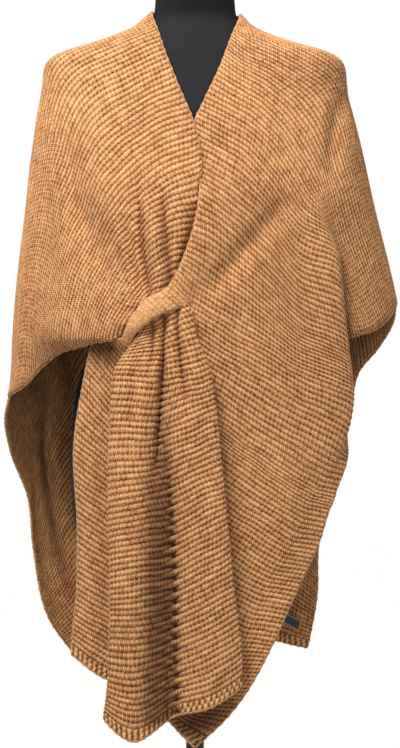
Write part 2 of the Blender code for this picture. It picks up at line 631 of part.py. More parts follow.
def back_panel(left_seam, right_seam):
    """Grid of the back panel below the two shoulder seams and the back neck between them."""
    start = left_seam[0]
    end = right_seam[0]
    places = 0.5 - 0.5 * np.cos(np.linspace(0, np.pi, NECK_CELLS + 1)[1:-1])
    middle = np.array([0, 0, BACK_NECK_HEIGHT])
    neck = smooth_curve((0, 0.5, 1), np.array([start, middle, end]), places)
    neck[:, 1] = draped_depth(neck[:, 0], neck[:, 2], False)
    top = np.concatenate([left_seam[::-1], neck, right_seam])
    front_view = top[:, [0, 2]]
    down = np.linspace(0, 1, BACK_CELLS_DOWN + 1) ** BACK_CROWDING
    shares = even_knots(front_view)
    view = blend_edges(
        front_view,
        edge_line(BACK_HEM, shares),
        edge_line(BACK_LEFT_EDGE, down),
        edge_line(BACK_RIGHT_EDGE, down),
        down,
    )
    z = view[:, :, 1]
    round_view = blend_edges(
        round_places(front_view),
        round_places(edge_line(BACK_HEM, shares)),
        round_places(edge_line(BACK_LEFT_EDGE, down)),
        round_places(edge_line(BACK_RIGHT_EDGE, down)),
        down,
    )
    left, right, _, aft = (value.reshape(z.shape) for value in outline_at(z.ravel()))
    half = np.where(view[:, :, 0] < 0, left, right)
    by_width = view[:, :, 0] / half
    by_angle = np.sin(np.clip(round_view[:, :, 0], -np.pi / 2, np.pi / 2))
    by_angle = np.sign(by_angle) * abs(by_angle) ** (2 / DOME_POWER)
    on_arm = np.clip((ARM_TOP - top[:, 2]) / (ARM_TOP - ARM_FULL), 0, 1)[None]
    across = by_width + (by_angle - by_width) * on_arm * on_arm * (3 - 2 * on_arm)
    x = np.clip(across, -1, 1) * half
    y = aft * (1 - np.clip(abs(across), 0, 1) ** DOME_POWER) ** (1 / DOME_POWER)
    x[0] = top[:, 0]
    y[0] = top[:, 1]
    grid = np.stack([x, y, z], axis=-1)
    flat = grid.reshape(-1, 3)
    fullness = np.sin(np.pi * shares) * (0.8 + 0.2 * np.sin(7 * shares + 1))
    strength = (down ** 0.9)[:, None] * fullness[None]
    wave = np.sin(2 * np.pi * FLUTE_COUNT * (shares + 0.02 * np.sin(9 * shares)))
    flute = FLUTE_DEPTH * strength * wave[None]
    grid = (flat + dome_normal(flat) * flute.reshape(-1, 1)).reshape(grid.shape)
    return grid[:, ::-1], len(right_seam), len(left_seam)


def add_label(grid, normals, material):
    """Blank label laid inside the back panel's lower corner, made from the panel's points."""
    row = grid.shape[0] - 2
    columns = range(LABEL_FIRST_COLUMN, LABEL_FIRST_COLUMN + LABEL_COLUMNS + 1)
    near = []
    far = []
    for share in (LABEL_TOP, LABEL_BOTTOM):
        for j in columns:
            point = grid[row, j] * (1 - share) + grid[row + 1, j] * share
            normal = normals[row, j] * (1 - share) + normals[row + 1, j] * share
            inset = WALL / 2 + SEAM_GAP + 0.0001
            near.append(point - normal * inset)
            far.append(point - normal * (inset + LABEL_THICKNESS))
    count = len(near)
    width = LABEL_COLUMNS + 1
    faces = []
    for j in range(LABEL_COLUMNS):
        quad = [j, j + width, j + width + 1, j + 1]
        faces.append(quad)
        faces.append([corner + count for corner in reversed(quad)])
        faces.append([j + 1, j + 1 + count, j + count, j][::-1])
        faces.append([j + width, j + width + count, j + width + 1 + count, j + width + 1][::-1])
    faces.append([0, width, width + count, count][::-1])
    last = LABEL_COLUMNS
    faces.append([last + width, last, last + count, last + width + count][::-1])
    label = add_object("care_label", np.array(near + far), faces, material)
    shape = bmesh.new()
    shape.from_mesh(label.data)
    bmesh.ops.recalc_face_normals(shape, faces=shape.faces)
    shape.to_mesh(label.data)
    shape.free()
    return label


def ring_body(name, rings, segments, material):
    """Closed body through level rings of half width, front depth, back depth and power."""
    angles = np.linspace(0, 2 * np.pi, segments, endpoint=False)
    vertices = []
    for level, half, front, back, power in rings:
        share = 2 / power
        for angle in angles:
            side = math.cos(angle)
            fore = math.sin(angle)
            depth = back if fore > 0 else front
            x = math.copysign(abs(side) ** share, side) * half
            y = math.copysign(abs(fore) ** share, fore) * depth
            vertices.append((x, y, level))
    faces = [list(range(segments - 1, -1, -1))]
    for ring in range(len(rings) - 1):
        for k in range(segments):
            a = ring * segments + k
            b = ring * segments + (k + 1) % segments
            faces.append([a, b, b + segments, a + segments])
    faces.append([(len(rings) - 1) * segments + k for k in range(segments)])
    return add_object(name, vertices, faces, material)


def form_rings():
    """Rings of the torso, shoulders and neck; the shoulders lie just inside the cloth."""
    rings = [tuple([v * CM for v in row[:4]] + [row[4]]) for row in FORM_RINGS]
    for level in SHOULDER_LEVELS:
        z = level * CM
        left, right, front, back = (value[0] for value in outline_at(np.array([z + SEAT_DROP])))
        inset = SEAT_INSET if level < 139 else 1.6 * SEAT_INSET
        half = max(min(left, right) - inset, NECK_RADIUS)
        power = 2.2 if level < 139 else 1.9
        rings.append((z, half, front - CHEST_INSET, back - 1.3 * CHEST_INSET, power))
    rings.append((1.432, NECK_RADIUS, 0.040, 0.055, 1.9))
    rings.append((1.446, NECK_RADIUS - 0.001, 0.047, 0.055, 2.0))
    rings.append((1.465, NECK_RADIUS - 0.002, 0.052, 0.055, 2.0))
    rings.append((NECK_TOP - 0.003, NECK_RADIUS - 0.002, 0.055, 0.055, 2.0))
    rings.append((NECK_TOP, NECK_RADIUS - 0.005, 0.052, 0.052, 2.0))
    return rings


def turned_body(name, profile, segments, material):
    """Closed turned body from radius and height pairs, bottom to top."""
    rings = [(height, radius, radius, radius, 2.0) for radius, height in profile]
    return ring_body(name, rings, segments, material)


def build_cloth():
    """The three panels and the label."""
    knit = knit_material("knit_wool", KNIT_COLOUR, 0.92)
    pulled = pulled_panel()
    slotted, far_side, slit_rows = slotted_panel()

    left_seam = pulled[0].copy()
    right_seam = slotted[0].copy()
    left_normals, left_ahead = seam_frame(left_seam)
    right_normals, right_ahead = seam_frame(right_seam)
    back, right_count, left_count = back_panel(left_seam, right_seam)

    pulled[0] += left_ahead * SEAM_GAP / 2
    slotted[0] += right_ahead * SEAM_GAP / 2
    back[0, :right_count] -= (right_ahead * SEAM_GAP / 2)[::-1]
    back[0, -left_count:] -= left_ahead * SEAM_GAP / 2

    pulled = pulled[:, ::-1]
    points, quads, index = grid_mesh(pulled)
    normals = vertex_normals(points, quads)
    normals[index[0]] = left_normals[::-1]
    add_cloth("pulled_front", points, quads, knit, normals)

    points, quads, index = grid_mesh(slotted)
    extra = {row: len(points) + k for k, row in enumerate(slit_rows)}
    points = np.vstack([points, far_side])
    quads = []
    rows, columns = index.shape
    for i in range(rows - 1):
        for j in range(columns - 1):
            corners = [(i, j), (i + 1, j), (i + 1, j + 1), (i, j + 1)]
            beyond = j >= SLOT_STRIP_CELLS
            quads.append([
                extra[r] if beyond and c == SLOT_STRIP_CELLS and r in extra else int(index[r, c])
                for r, c in corners
            ])
    normals = vertex_normals(points, quads)
    normals[index[0]] = right_normals
    add_cloth("slotted_front", points, quads, knit, normals)

    points, quads, index = grid_mesh(back)
    normals = vertex_normals(points, quads)
    normals[index[0, :right_count]] = right_normals[::-1]
    normals[index[0, -left_count:]] = left_normals
    add_cloth("back_panel", points, quads, knit, normals)
    label = knit_material("label_fabric", LABEL_COLOUR, 0.6)
    add_label(back, normals.reshape(back.shape), label)


def build_form():
    """Torso with neck, cap, socket, pole and foot, each resting a hair above the next."""
    jersey = knit_material("form_jersey", FORM_COLOUR, 0.85)
    metal = knit_material("stand_metal", METAL_COLOUR, 0.35, 0.9)
    ring_body("form_torso", form_rings(), FORM_SEGMENTS, jersey)
    cap_base = NECK_TOP + SEAM_GAP
    cap_profile = [
        (CAP_RADIUS - 0.002, cap_base),
        (CAP_RADIUS, cap_base + 0.002),
        (CAP_RADIUS, cap_base + CAP_HEIGHT - 0.004),
        (CAP_RADIUS - 0.004, cap_base + CAP_HEIGHT),
    ]
    turned_body("form_cap", cap_profile, 32, metal)
    socket_top = TORSO_UNDERSIDE - SEAM_GAP
    socket_base = socket_top - SOCKET_HEIGHT
    socket_profile = [
        (POLE_RADIUS + 0.005, socket_base),
        (POLE_RADIUS + 0.007, socket_base + 0.002),
        (POLE_RADIUS + 0.007, socket_top - 0.012),
        (SOCKET_RADIUS, socket_top - 0.006),
        (SOCKET_RADIUS, socket_top),
    ]
    turned_body("stand_socket", socket_profile, 32, metal)
    pole_base = HUB_HEIGHT + FOOT_HEIGHT + SEAM_GAP
    pole_top = socket_base - SEAM_GAP
    turned_body("stand_pole", [(POLE_RADIUS, pole_base), (POLE_RADIUS, pole_top)], 24, metal)
    foot_profile = [
        (FOOT_RADIUS - 0.003, 0.0),
        (FOOT_RADIUS, 0.003),
        (FOOT_RADIUS, 0.009),
        (FOOT_RADIUS - 0.006, 0.014),
        (HUB_RADIUS + 0.020, FOOT_HEIGHT - 0.001),
        (HUB_RADIUS, FOOT_HEIGHT + 0.004),
        (POLE_RADIUS + 0.008, FOOT_HEIGHT + HUB_HEIGHT - 0.004),
        (POLE_RADIUS + 0.005, FOOT_HEIGHT + HUB_HEIGHT),
    ]
    turned_body("stand_foot", foot_profile, 48, metal)


def main():
    """Build the poncho and the dress form that it rests on."""
    clear_scene()
    build_cloth()
    build_form()


main()
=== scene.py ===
"""Visual model of a chunky knitted poncho on a dress form.

One front is pulled through a slit in the other and hangs from it as a gathered tail. Each class
is one sub-assembly or one finish. Metres, +Z up, the front faces -Y.
"""
from __future__ import annotations

import json
import logging
import math
from dataclasses import dataclass, field
from enum import Enum
from typing import Callable, Mapping, Sequence

import bmesh
import bpy
import numpy as np
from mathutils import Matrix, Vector

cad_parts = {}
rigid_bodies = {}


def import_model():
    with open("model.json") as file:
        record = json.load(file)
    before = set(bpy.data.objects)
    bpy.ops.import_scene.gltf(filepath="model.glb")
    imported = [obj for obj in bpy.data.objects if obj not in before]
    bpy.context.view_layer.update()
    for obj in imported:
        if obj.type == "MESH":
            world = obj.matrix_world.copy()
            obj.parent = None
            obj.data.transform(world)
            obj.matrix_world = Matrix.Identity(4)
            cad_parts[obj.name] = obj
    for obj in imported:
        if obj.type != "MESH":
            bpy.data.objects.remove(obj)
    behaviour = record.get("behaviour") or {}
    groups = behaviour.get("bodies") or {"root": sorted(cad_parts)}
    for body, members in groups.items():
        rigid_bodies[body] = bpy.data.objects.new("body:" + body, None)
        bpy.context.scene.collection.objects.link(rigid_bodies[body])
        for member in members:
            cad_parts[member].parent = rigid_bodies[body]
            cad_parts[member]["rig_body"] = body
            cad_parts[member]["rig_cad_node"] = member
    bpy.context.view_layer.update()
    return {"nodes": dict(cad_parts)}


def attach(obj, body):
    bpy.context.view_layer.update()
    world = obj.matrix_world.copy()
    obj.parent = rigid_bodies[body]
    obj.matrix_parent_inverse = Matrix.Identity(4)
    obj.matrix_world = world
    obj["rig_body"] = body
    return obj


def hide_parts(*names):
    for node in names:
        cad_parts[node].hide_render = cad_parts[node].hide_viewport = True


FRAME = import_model()

LOG = logging.getLogger("poncho")
Array = np.ndarray
Colour = tuple[float, float, float, float]
CM = 0.01
MM = 0.001
TAU = 2 * math.pi
FLAT_MAP = "flat_cut"
# The pull map holds how hard the strap pulls the stitches flat, then the strength of painted shade
PULL_AND_PAINTED_SHADE_MAP = "pull"

# Hollow body that the draped cloth follows, in centimetres
OUTLINE_COLUMNS = ("level", "left", "right", "front", "back")
OUTLINE = (
    (144.2, 4.6, 4.6, 3.0, 6.0),
    (142.7, 6.2, 6.5, 4.0, 6.6),
    (140.2, 9.2, 9.0, 5.6, 7.4),
    (138.6, 13.4, 13.2, 6.5, 8.0),
    (136.9, 18.8, 18.8, 7.3, 8.6),
    (135.5, 20.7, 20.6, 7.9, 9.0),
    (132.3, 21.2, 21.1, 9.1, 10.0),
    (123.2, 22.9, 23.3, 12.0, 12.2),
    (116.3, 23.6, 24.8, 13.8, 13.0),
    (102.4, 25.2, 28.1, 14.2, 13.4),
    (98.0, 25.5, 28.9, 14.2, 13.6),
    (88.9, 26.2, 29.4, 14.3, 14.0),
    (86.0, 27.4, 29.5, 14.3, 14.1),
    (80.0, 28.4, 29.5, 14.4, 14.4),
    (40.0, 28.6, 29.6, 15.0, 15.6),
)

# Courses of the slotted front: places in centimetres on the front view, then lifts in millimetres
SLOTTED_PLACE_COLUMNS = (
    "edge_x", "edge_z", "slit_x", "slit_z", "chest_x", "chest_z", "bust_x", "bust_z",
    "arm_x", "arm_z", "fold_x", "fold_z", "side_x", "side_z",
)
SLOTTED_PLACES = (
    (6.3, 142.3, 8.5, 140.3, 13.2, 138.5, 20.3, 135.9, 21.1, 133.2, 22.7, 125.3, 28.1, 102.2),
    (3.8, 135.5, 6.0, 133.9, 10.2, 131.6, 14.6, 127.1, 17.7, 121.8, 19.3, 115.6, 25.7, 98.6),
    (1.4, 130.2, 3.8, 128.9, 7.6, 126.7, 11.9, 122.2, 15.3, 116.8, 18.4, 112.4, 23.2, 97.6),
    (-0.3, 126.0, 2.4, 124.5, 6.3, 122.1, 10.5, 117.8, 14.5, 112.4, 19.5, 109.0, 21.8, 96.9),
    (0.4, 121.1, 2.6, 119.9, 6.3, 117.4, 10.2, 113.5, 14.3, 108.2, 19.9, 105.1, 21.0, 95.4),
    (0.6, 116.3, 2.8, 114.9, 6.3, 112.1, 10.2, 108.2, 14.5, 103.5, 20.4, 100.3, 20.3, 92.4),
    (-0.6, 110.7, 2.1, 109.3, 6.0, 106.5, 10.2, 102.8, 14.6, 98.7, 21.0, 95.1, 20.3, 89.2),
    (-3.3, 104.5, -0.6, 101.8, 4.9, 98.5, 9.8, 95.6, 14.7, 92.6, 21.6, 89.6, 21.1, 85.7),
    (-6.5, 102.2, -1.0, 97.9, 4.3, 94.5, 9.3, 91.5, 14.6, 88.4, 20.9, 85.1, 21.8, 82.3),
    (-8.6, 99.1, -2.4, 94.0, 3.2, 90.4, 8.5, 86.9, 13.8, 83.6, 19.1, 80.7, 21.3, 79.8),
    (-9.8, 97.0, -4.0, 90.5, 1.5, 87.1, 7.1, 83.2, 12.1, 79.8, 17.1, 76.9, 19.7, 76.2),
    (-11.8, 97.0, -5.1, 89.0, 0.6, 85.7, 6.1, 81.8, 11.1, 78.3, 16.0, 75.4, 19.1, 74.5),
    (-13.9, 96.7, -6.3, 87.3, -0.4, 84.0, 5.1, 80.4, 10.2, 76.9, 14.9, 73.9, 18.4, 72.9),
    (-15.5, 90.6, -8.3, 82.9, -2.6, 79.3, 2.9, 75.4, 7.9, 71.9, 12.9, 68.8, 16.8, 67.9),
    (-16.8, 81.5, -9.9, 76.2, -4.9, 72.9, 0.1, 68.8, 4.9, 65.4, 9.3, 62.7, 13.9, 61.8),
    (-16.3, 71.8, -10.4, 67.9, -6.0, 64.8, -1.5, 61.1, 2.4, 57.9, 6.3, 55.5, 10.7, 54.8),
    (-16.3, 62.7, -11.3, 59.8, -7.4, 57.3, -3.5, 54.0, 0.0, 51.2, 3.2, 49.1, 7.6, 49.0),
    (-16.8, 57.2, -12.4, 54.5, -9.0, 52.4, -5.6, 49.5, -2.5, 47.0, 0.3, 45.2, 4.3, 44.6),
    (-17.1, 53.4, -13.9, 50.9, -11.1, 49.5, -8.1, 47.7, -5.3, 45.6, -3.1, 43.7, 0.0, 40.6),
)
SLOTTED_LIFT_COLUMNS = ("edge_lift", "slit_lift", "fold_step", "side_lift")
SLOTTED_LIFTS = (
    (0, 0, 0, 0),
    (0, 0, 4, 0),
    (0, 0, 10, -4),
    (0, 0, 16, -22),
    (-1, 0, 19, -30),
    (4, 1, 19, -32),
    (9, 3, 18, -32),
    (12, 6, 16, -28),
    (27, 1, 10, -18),
    (29, 0, 4, -8),
    (17, 0, 0, -2),
    (-1, 0, 0, 0),
    (0, 0, 0, 0),
    (-1, 0, 0, 0),
    (-2, 0, 0, 1),
    (-2, 0, 0, 2),
    (-1, 0, 0, 2),
    (0, 0, 0, 2),
    (0, 0, 0, 2),
)
SLOTTED_KNOTS = (0.0, 0.1, 0.22, 0.40, 0.57, 0.76, 0.88, 1.0)
SLIT_FIRST = 7
SLIT_LAST = 12

# Slit side of the strap where it leaves the panel
STRAP_COLUMNS = ("slit_x", "slit_z", "slit_lift")
STRAP_COURSES = (
    (-0.6, 101.8, 6),
    (-4.5, 100.3, 27),
    (-7.0, 98.5, 29),
    (-8.6, 96.3, 16),
    (-8.4, 92.9, 1),
    (-6.3, 87.3, 0),
)

# Courses of the pulled front down to the strap, in the same units
PULLED_PLACE_COLUMNS = (
    "front_x", "front_z", "chest_x", "chest_z", "upper_x", "upper_z", "middle_x", "middle_z",
    "lower_x", "lower_z", "rim_x", "rim_z", "side_x", "side_z",
)
PULLED_PLACES = (
    (-6.0, 142.7, -13.2, 138.8, -21.0, 134.9, -22.7, 123.2, -24.2, 109.3, -25.3, 97.5, -26.0, 88.9),
    (-4.5, 137.8, -10.7, 134.9, -16.8, 130.9, -19.9, 121.8, -21.8, 110.0, -23.1, 98.9, -24.1, 90.4),
    (-2.4, 132.3, -8.2, 129.5, -13.6, 125.3, -17.1, 118.4, -19.6, 108.6, -21.1, 98.6, -21.8, 93.0),
    (0.0, 126.2, -5.8, 123.9, -10.8, 119.8, -14.6, 113.5, -17.4, 105.8, -18.8, 98.1, -19.1, 94.9),
    (0.9, 120.8, -4.1, 118.5, -8.8, 114.9, -12.4, 109.7, -14.9, 103.6, -16.1, 97.6, -16.4, 95.7),
    (0.3, 117.3, -3.8, 115.8, -7.9, 112.6, -11.4, 107.8, -13.7, 102.5, -14.8, 97.5, -15.0, 96.0),
    (1.4, 113.6, -3.2, 112.7, -7.0, 110.0, -10.3, 105.6, -12.5, 101.2, -13.5, 97.5, -13.6, 96.4),
    (0.3, 108.9, -2.9, 108.1, -6.1, 106.1, -8.6, 102.9, -10.4, 99.9, -11.3, 97.5, -11.4, 96.7),
    (-2.7, 104.5, -4.3, 103.9, -5.8, 103.1, -6.7, 101.8, -7.6, 100.4, -8.5, 98.9, -8.8, 98.1),
    (-2.2, 102.8, -3.6, 102.1, -4.7, 101.1, -5.4, 100.3, -6.1, 99.4, -7.0, 98.4, -7.4, 97.7),
    (-0.4, 100.4, -1.7, 99.8, -3.1, 98.9, -4.5, 98.1, -6.2, 97.3, -8.1, 96.4, -8.1, 95.8),
)
PULLED_LIFT_COLUMNS = ("front_lift", "middle_lift", "rim_lift", "side_lift")
PULLED_LIFTS = (
    (0, 0, 0, 0),
    (0, 0, 3, -4),
    (0, 0, 8, -8),
    (4, 2, 14, -6),
    (5, 4, 16, 0),
    (1, 5, 16, 4),
    (-6, 6, 16, 8),
    (-8, 7, 14, 11),
    (-4, 8, 12, 9),
    (3, 11, 13, 11),
    (12, 20, 20, 13),
)
GATHER_COURSE = 9

# The tail below the strap: outline, valley, and how far its two sides are tucked under. The sag is
# in centimetres, as the places are.
TAIL_COLUMNS = (
    "right_x", "right_z", "valley_x", "valley_z", "left_x", "left_z",
    "valley_lift", "crest_lift", "tuck", "sag",
)
TAIL_COURSES = (
    (1.5, 93.7, -4.3, 92.1, -10.5, 92.2, 24, 33, 12, 0),
    (2.6, 87.8, -5.1, 84.6, -11.1, 84.5, 28, 39, 18, 0),
    (3.3, 80.8, -4.5, 77.2, -11.3, 75.7, 28, 42, 25, 0),
    (4.2, 71.8, -3.4, 67.6, -11.1, 65.9, 27, 42, 26, 0),
    (5.1, 62.0, -2.8, 57.7, -11.1, 56.2, 27, 40, 26, 0.6),
    (6.0, 55.1, -2.6, 50.5, -11.5, 48.8, 26, 37, 26, 1.6),
    (6.1, 49.0, -2.9, 44.9, -12.0, 44.6, 26, 35, 24, 3.2),
)

# Free edges of the back panel and its hem, on the front view in centimetres
BACK_LEFT_EDGE = (
    (-26.0, 88.9), (-26.7, 86.0), (-26.1, 81.5), (-23.6, 74.5),
    (-22.9, 67.6), (-20.6, 57.2), (-16.4, 51.3),
)
BACK_RIGHT_EDGE = (
    (28.1, 102.2), (28.0, 99.9), (25.9, 95.8), (23.2, 92.4), (22.0, 87.1),
    (19.6, 77.3), (17.5, 67.6), (17.3, 60.6), (16.0, 53.2),
)
BACK_HEM = ((-16.4, 51.3), (-9.0, 53.0), (0.0, 55.1), (7.6, 54.8), (16.0, 53.2))

# Folds by three points on the front view; a ridge has a negative depth. Width and depth in mm.
FOLD_COLUMNS = ("x0", "z0", "x1", "z1", "x2", "z2", "width", "depth", "open_end")
PULLED_FOLDS = (
    (-8.2, 121.0, -6.9, 107.5, -5.8, 101.5, 6, 18, 0),
    (-9.6, 114.0, -8.2, 107.0, -6.8, 101.0, 6, 11, 0),
    (-6.0, 117.0, -5.4, 109.0, -4.6, 103.0, 8, -6, 0),
    (-4.5, 118.0, -3.9, 110.5, -3.0, 103.5, 6, 17, 0),
    (0.3, 116.0, -1.0, 109.5, -2.6, 104.5, 7, 12, 0),
    (-18.5, 126.0, -15.9, 115.0, -9.8, 101.0, 16, 9, 0),
    (-13.9, 128.5, -12.0, 117.5, -8.3, 103.0, 12, -6, 0),
    (-21.6, 127.0, -20.5, 113.0, -18.5, 99.5, 13, 6, 0),
    (-11.5, 112.0, -9.6, 105.5, -7.4, 100.0, 8, 5, 0),
    (-4.3, 103.5, -4.3, 93.0, -5.4, 77.0, 5, 24, 0),
    (-4.5, 89.0, -2.9, 70.0, -2.3, 44.0, 6, 19, 1),
    (-5.2, 88.0, -4.3, 68.0, -3.6, 44.0, 14, 10, 1),
    (-2.7, 103.0, -2.0, 95.5, -0.8, 86.0, 5, 18, 0),
    (-5.9, 101.0, -5.6, 96.6, -5.8, 92.5, 4, 9, 0),
    (-7.6, 96.5, -8.2, 88.0, -8.4, 76.0, 8, 9, 0),
    (0.6, 86.0, 1.2, 70.0, 1.8, 52.0, 12, 6, 0),
)
SLOTTED_FOLDS = (
    (-0.6, 101.0, 6.3, 108.5, 14.0, 117.0, 17, 11, 0),
    (20.7, 132.0, 19.4, 125.5, 18.8, 117.5, 11, 7, 0),
    (9.0, 99.0, 13.2, 77.0, 9.5, 60.0, 30, -6, 0),
    (-5.0, 90.0, -5.2, 66.0, -4.3, 45.0, 34, 14, 1),
    (-15.8, 92.0, -14.6, 76.0, -14.4, 54.0, 9, -4, 1),
    (-12.6, 92.0, -12.4, 76.0, -12.2, 54.0, 8, 4, 1),
)

# Stops along a fold, how its depth fades at both ends, and how soon and how softly one that stays
# open at its lower end gets deep
FOLD_STOPS = 33
FOLD_FADE = 0.7
OPEN_REACH = 1.4
OPEN_FADE = 1.5

# Painted shade: lines along which the yarn is painted darker where shade falls in the tail's valley,
# under the pulled front's rim and on the hem corner below the tail. In the folds' columns; the depth
# is the painted shade in thousandths
PULLED_PAINTED_SHADE = (
    (-5.0, 95.0, -5.7, 72.0, -6.0, 45.0, 17, 850, 1),
    (-4.3, 95.0, -3.8, 72.0, -3.6, 45.0, 12, 850, 1),
)
SLOTTED_PAINTED_SHADE = (
    (-17.5, 95.5, -12.6, 95.0, -9.4, 93.6, 19, 1000, 0),
    (-4.5, 43.5, 0.5, 44.0, 6.5, 48.5, 24, 950, 0),
)


class Held(Enum):
    """How a sheet of cloth is held."""

    DRAPED = "draped"
    GATHERED = "gathered"


class EdgeKind(Enum):
    """How an edge of the knitting is finished: its bead length and radius in metres."""

    CHAIN = (0.0074, 0.0016)
    CAST_OFF = (0.0054, 0.0021)


def columns_of(table: Sequence[Sequence[float]], names: Sequence[str]) -> dict[str, Array]:
    """Every column of a table by its name."""
    return dict(zip(names, np.array(table, float).T))


def smooth_curve(knots: Array, values: Array, places: Array, level: bool = False) -> Array:
    """Cubic curve through values at knots.

    Args:
        knots: places of the values, rising.
        values: one number or one row of numbers at each knot.
        places: where the curve is wanted.
        level: True for a curve that never overshoots its values.

    Returns:
        The curve's values at the places.
    """
    knots = np.asarray(knots, float)
    values = np.asarray(values, float)
    if values.ndim == 1:
        return smooth_curve(knots, values[:, None], places, level)[:, 0]
    slopes = np.gradient(values, knots, axis=0)
    if level:
        secants = np.diff(values, axis=0) / np.diff(knots)[:, None]
        before = np.vstack([secants[:1], secants])
        after = np.vstack([secants, secants[-1:]])
        limit = 3 * np.minimum(abs(before), abs(after))
        slopes = np.where(before * after <= 0, 0, np.clip(slopes, -limit, limit))
    places = np.clip(np.asarray(places, float), knots[0], knots[-1])
    cell = np.clip(np.searchsorted(knots, places, side="right") - 1, 0, len(knots) - 2)
    step = (knots[cell + 1] - knots[cell])[:, None]
    t = (places - knots[cell])[:, None] / step
    start = (1 + 2 * t) * (1 - t) ** 2
    end = t * t * (3 - 2 * t)
    held = start * values[cell] + end * values[cell + 1]
    return held + t * (1 - t) * step * ((1 - t) * slopes[cell] - t * slopes[cell + 1])


def even_knots(points: Array) -> Array:
    """Knots from 0 to 1, spaced as the points of a line are."""
    steps = np.linalg.norm(np.diff(np.asarray(points, float), axis=0), axis=1)
    return np.concatenate([[0], np.cumsum(steps)]) / steps.sum()


def unit(vectors: Array) -> Array:
    """Vectors scaled to length 1."""
    return vectors / np.maximum(np.linalg.norm(vectors, axis=-1, keepdims=True), 1e-12)


def grid_quads(rows: int, columns: int) -> Array:
    """Quads of a grid of points, by their numbers."""
    index = np.arange(rows * columns).reshape(rows, columns)
    quads = np.stack([index[:-1, :-1], index[1:, :-1], index[1:, 1:], index[:-1, 1:]], axis=-1)
    return quads.reshape(-1, 4)


def soft_noise(x: Array, y: Array, reach: float, seed: int, waves: int = 9) -> Array:
    """Smooth seeded unevenness of about -1 to 1 whose waves are some reach long."""
    dice = np.random.default_rng(seed)
    total = np.zeros_like(x)
    for _ in range(waves):
        angle = dice.uniform(0, TAU)
        wave = TAU / (reach * dice.uniform(0.7, 1.9))
        total += np.sin(wave * (math.cos(angle) * x + math.sin(angle) * y) + dice.uniform(0, TAU))
    return total / 4.0


class Signal:
    """A socket used in an expression; arithmetic on it adds Math nodes to its board."""

    def __init__(self, board: Board, socket: bpy.types.NodeSocket) -> None:
        """Keep the socket and the board that it is on."""
        self.board = board
        self.socket = socket

    def _math(self, operation: str, *values: Number) -> Signal:
        """Signal of one new Math node with these operands."""
        return self.board.signal("ShaderNodeMath", {"operation": operation}, dict(enumerate(values)))

    def __add__(self, other: Number) -> Signal:
        """This plus other."""
        return self._math("ADD", self, other)

    def __radd__(self, other: Number) -> Signal:
        """Other plus this."""
        return self._math("ADD", other, self)

    def __sub__(self, other: Number) -> Signal:
        """This minus other."""
        return self._math("SUBTRACT", self, other)

    def __rsub__(self, other: Number) -> Signal:
        """Other minus this."""
        return self._math("SUBTRACT", other, self)

    def __mul__(self, other: Number) -> Signal:
        """This times other."""
        return self._math("MULTIPLY", self, other)

    def __rmul__(self, other: Number) -> Signal:
        """Other times this."""
        return self._math("MULTIPLY", other, self)

    def __truediv__(self, other: Number) -> Signal:
        """This divided by other."""
        return self._math("DIVIDE", self, other)

    def __pow__(self, other: Number) -> Signal:
        """This to the power of other."""
        return self._math("POWER", self, other)

    def __lt__(self, other: Number) -> Signal:
        """1 where this is less than other, or 0."""
        return self._math("LESS_THAN", self, other)

    def __abs__(self) -> Signal:
        """This without its sign."""
        return self._math("ABSOLUTE", self)

    def floor(self) -> Signal:
        """This rounded down."""
        return self._math("FLOOR", self)

    def wave(self) -> Signal:
        """A wave from 0 to 1, one for each whole number, 1 where this is whole."""
        return self._math("COSINE", self * TAU) * 0.5 + 0.5

    def toward(self, other: Number, share: Number) -> Signal:
        """This moved towards other by a share."""
        return self + (other - self) * share


Number = Signal | float


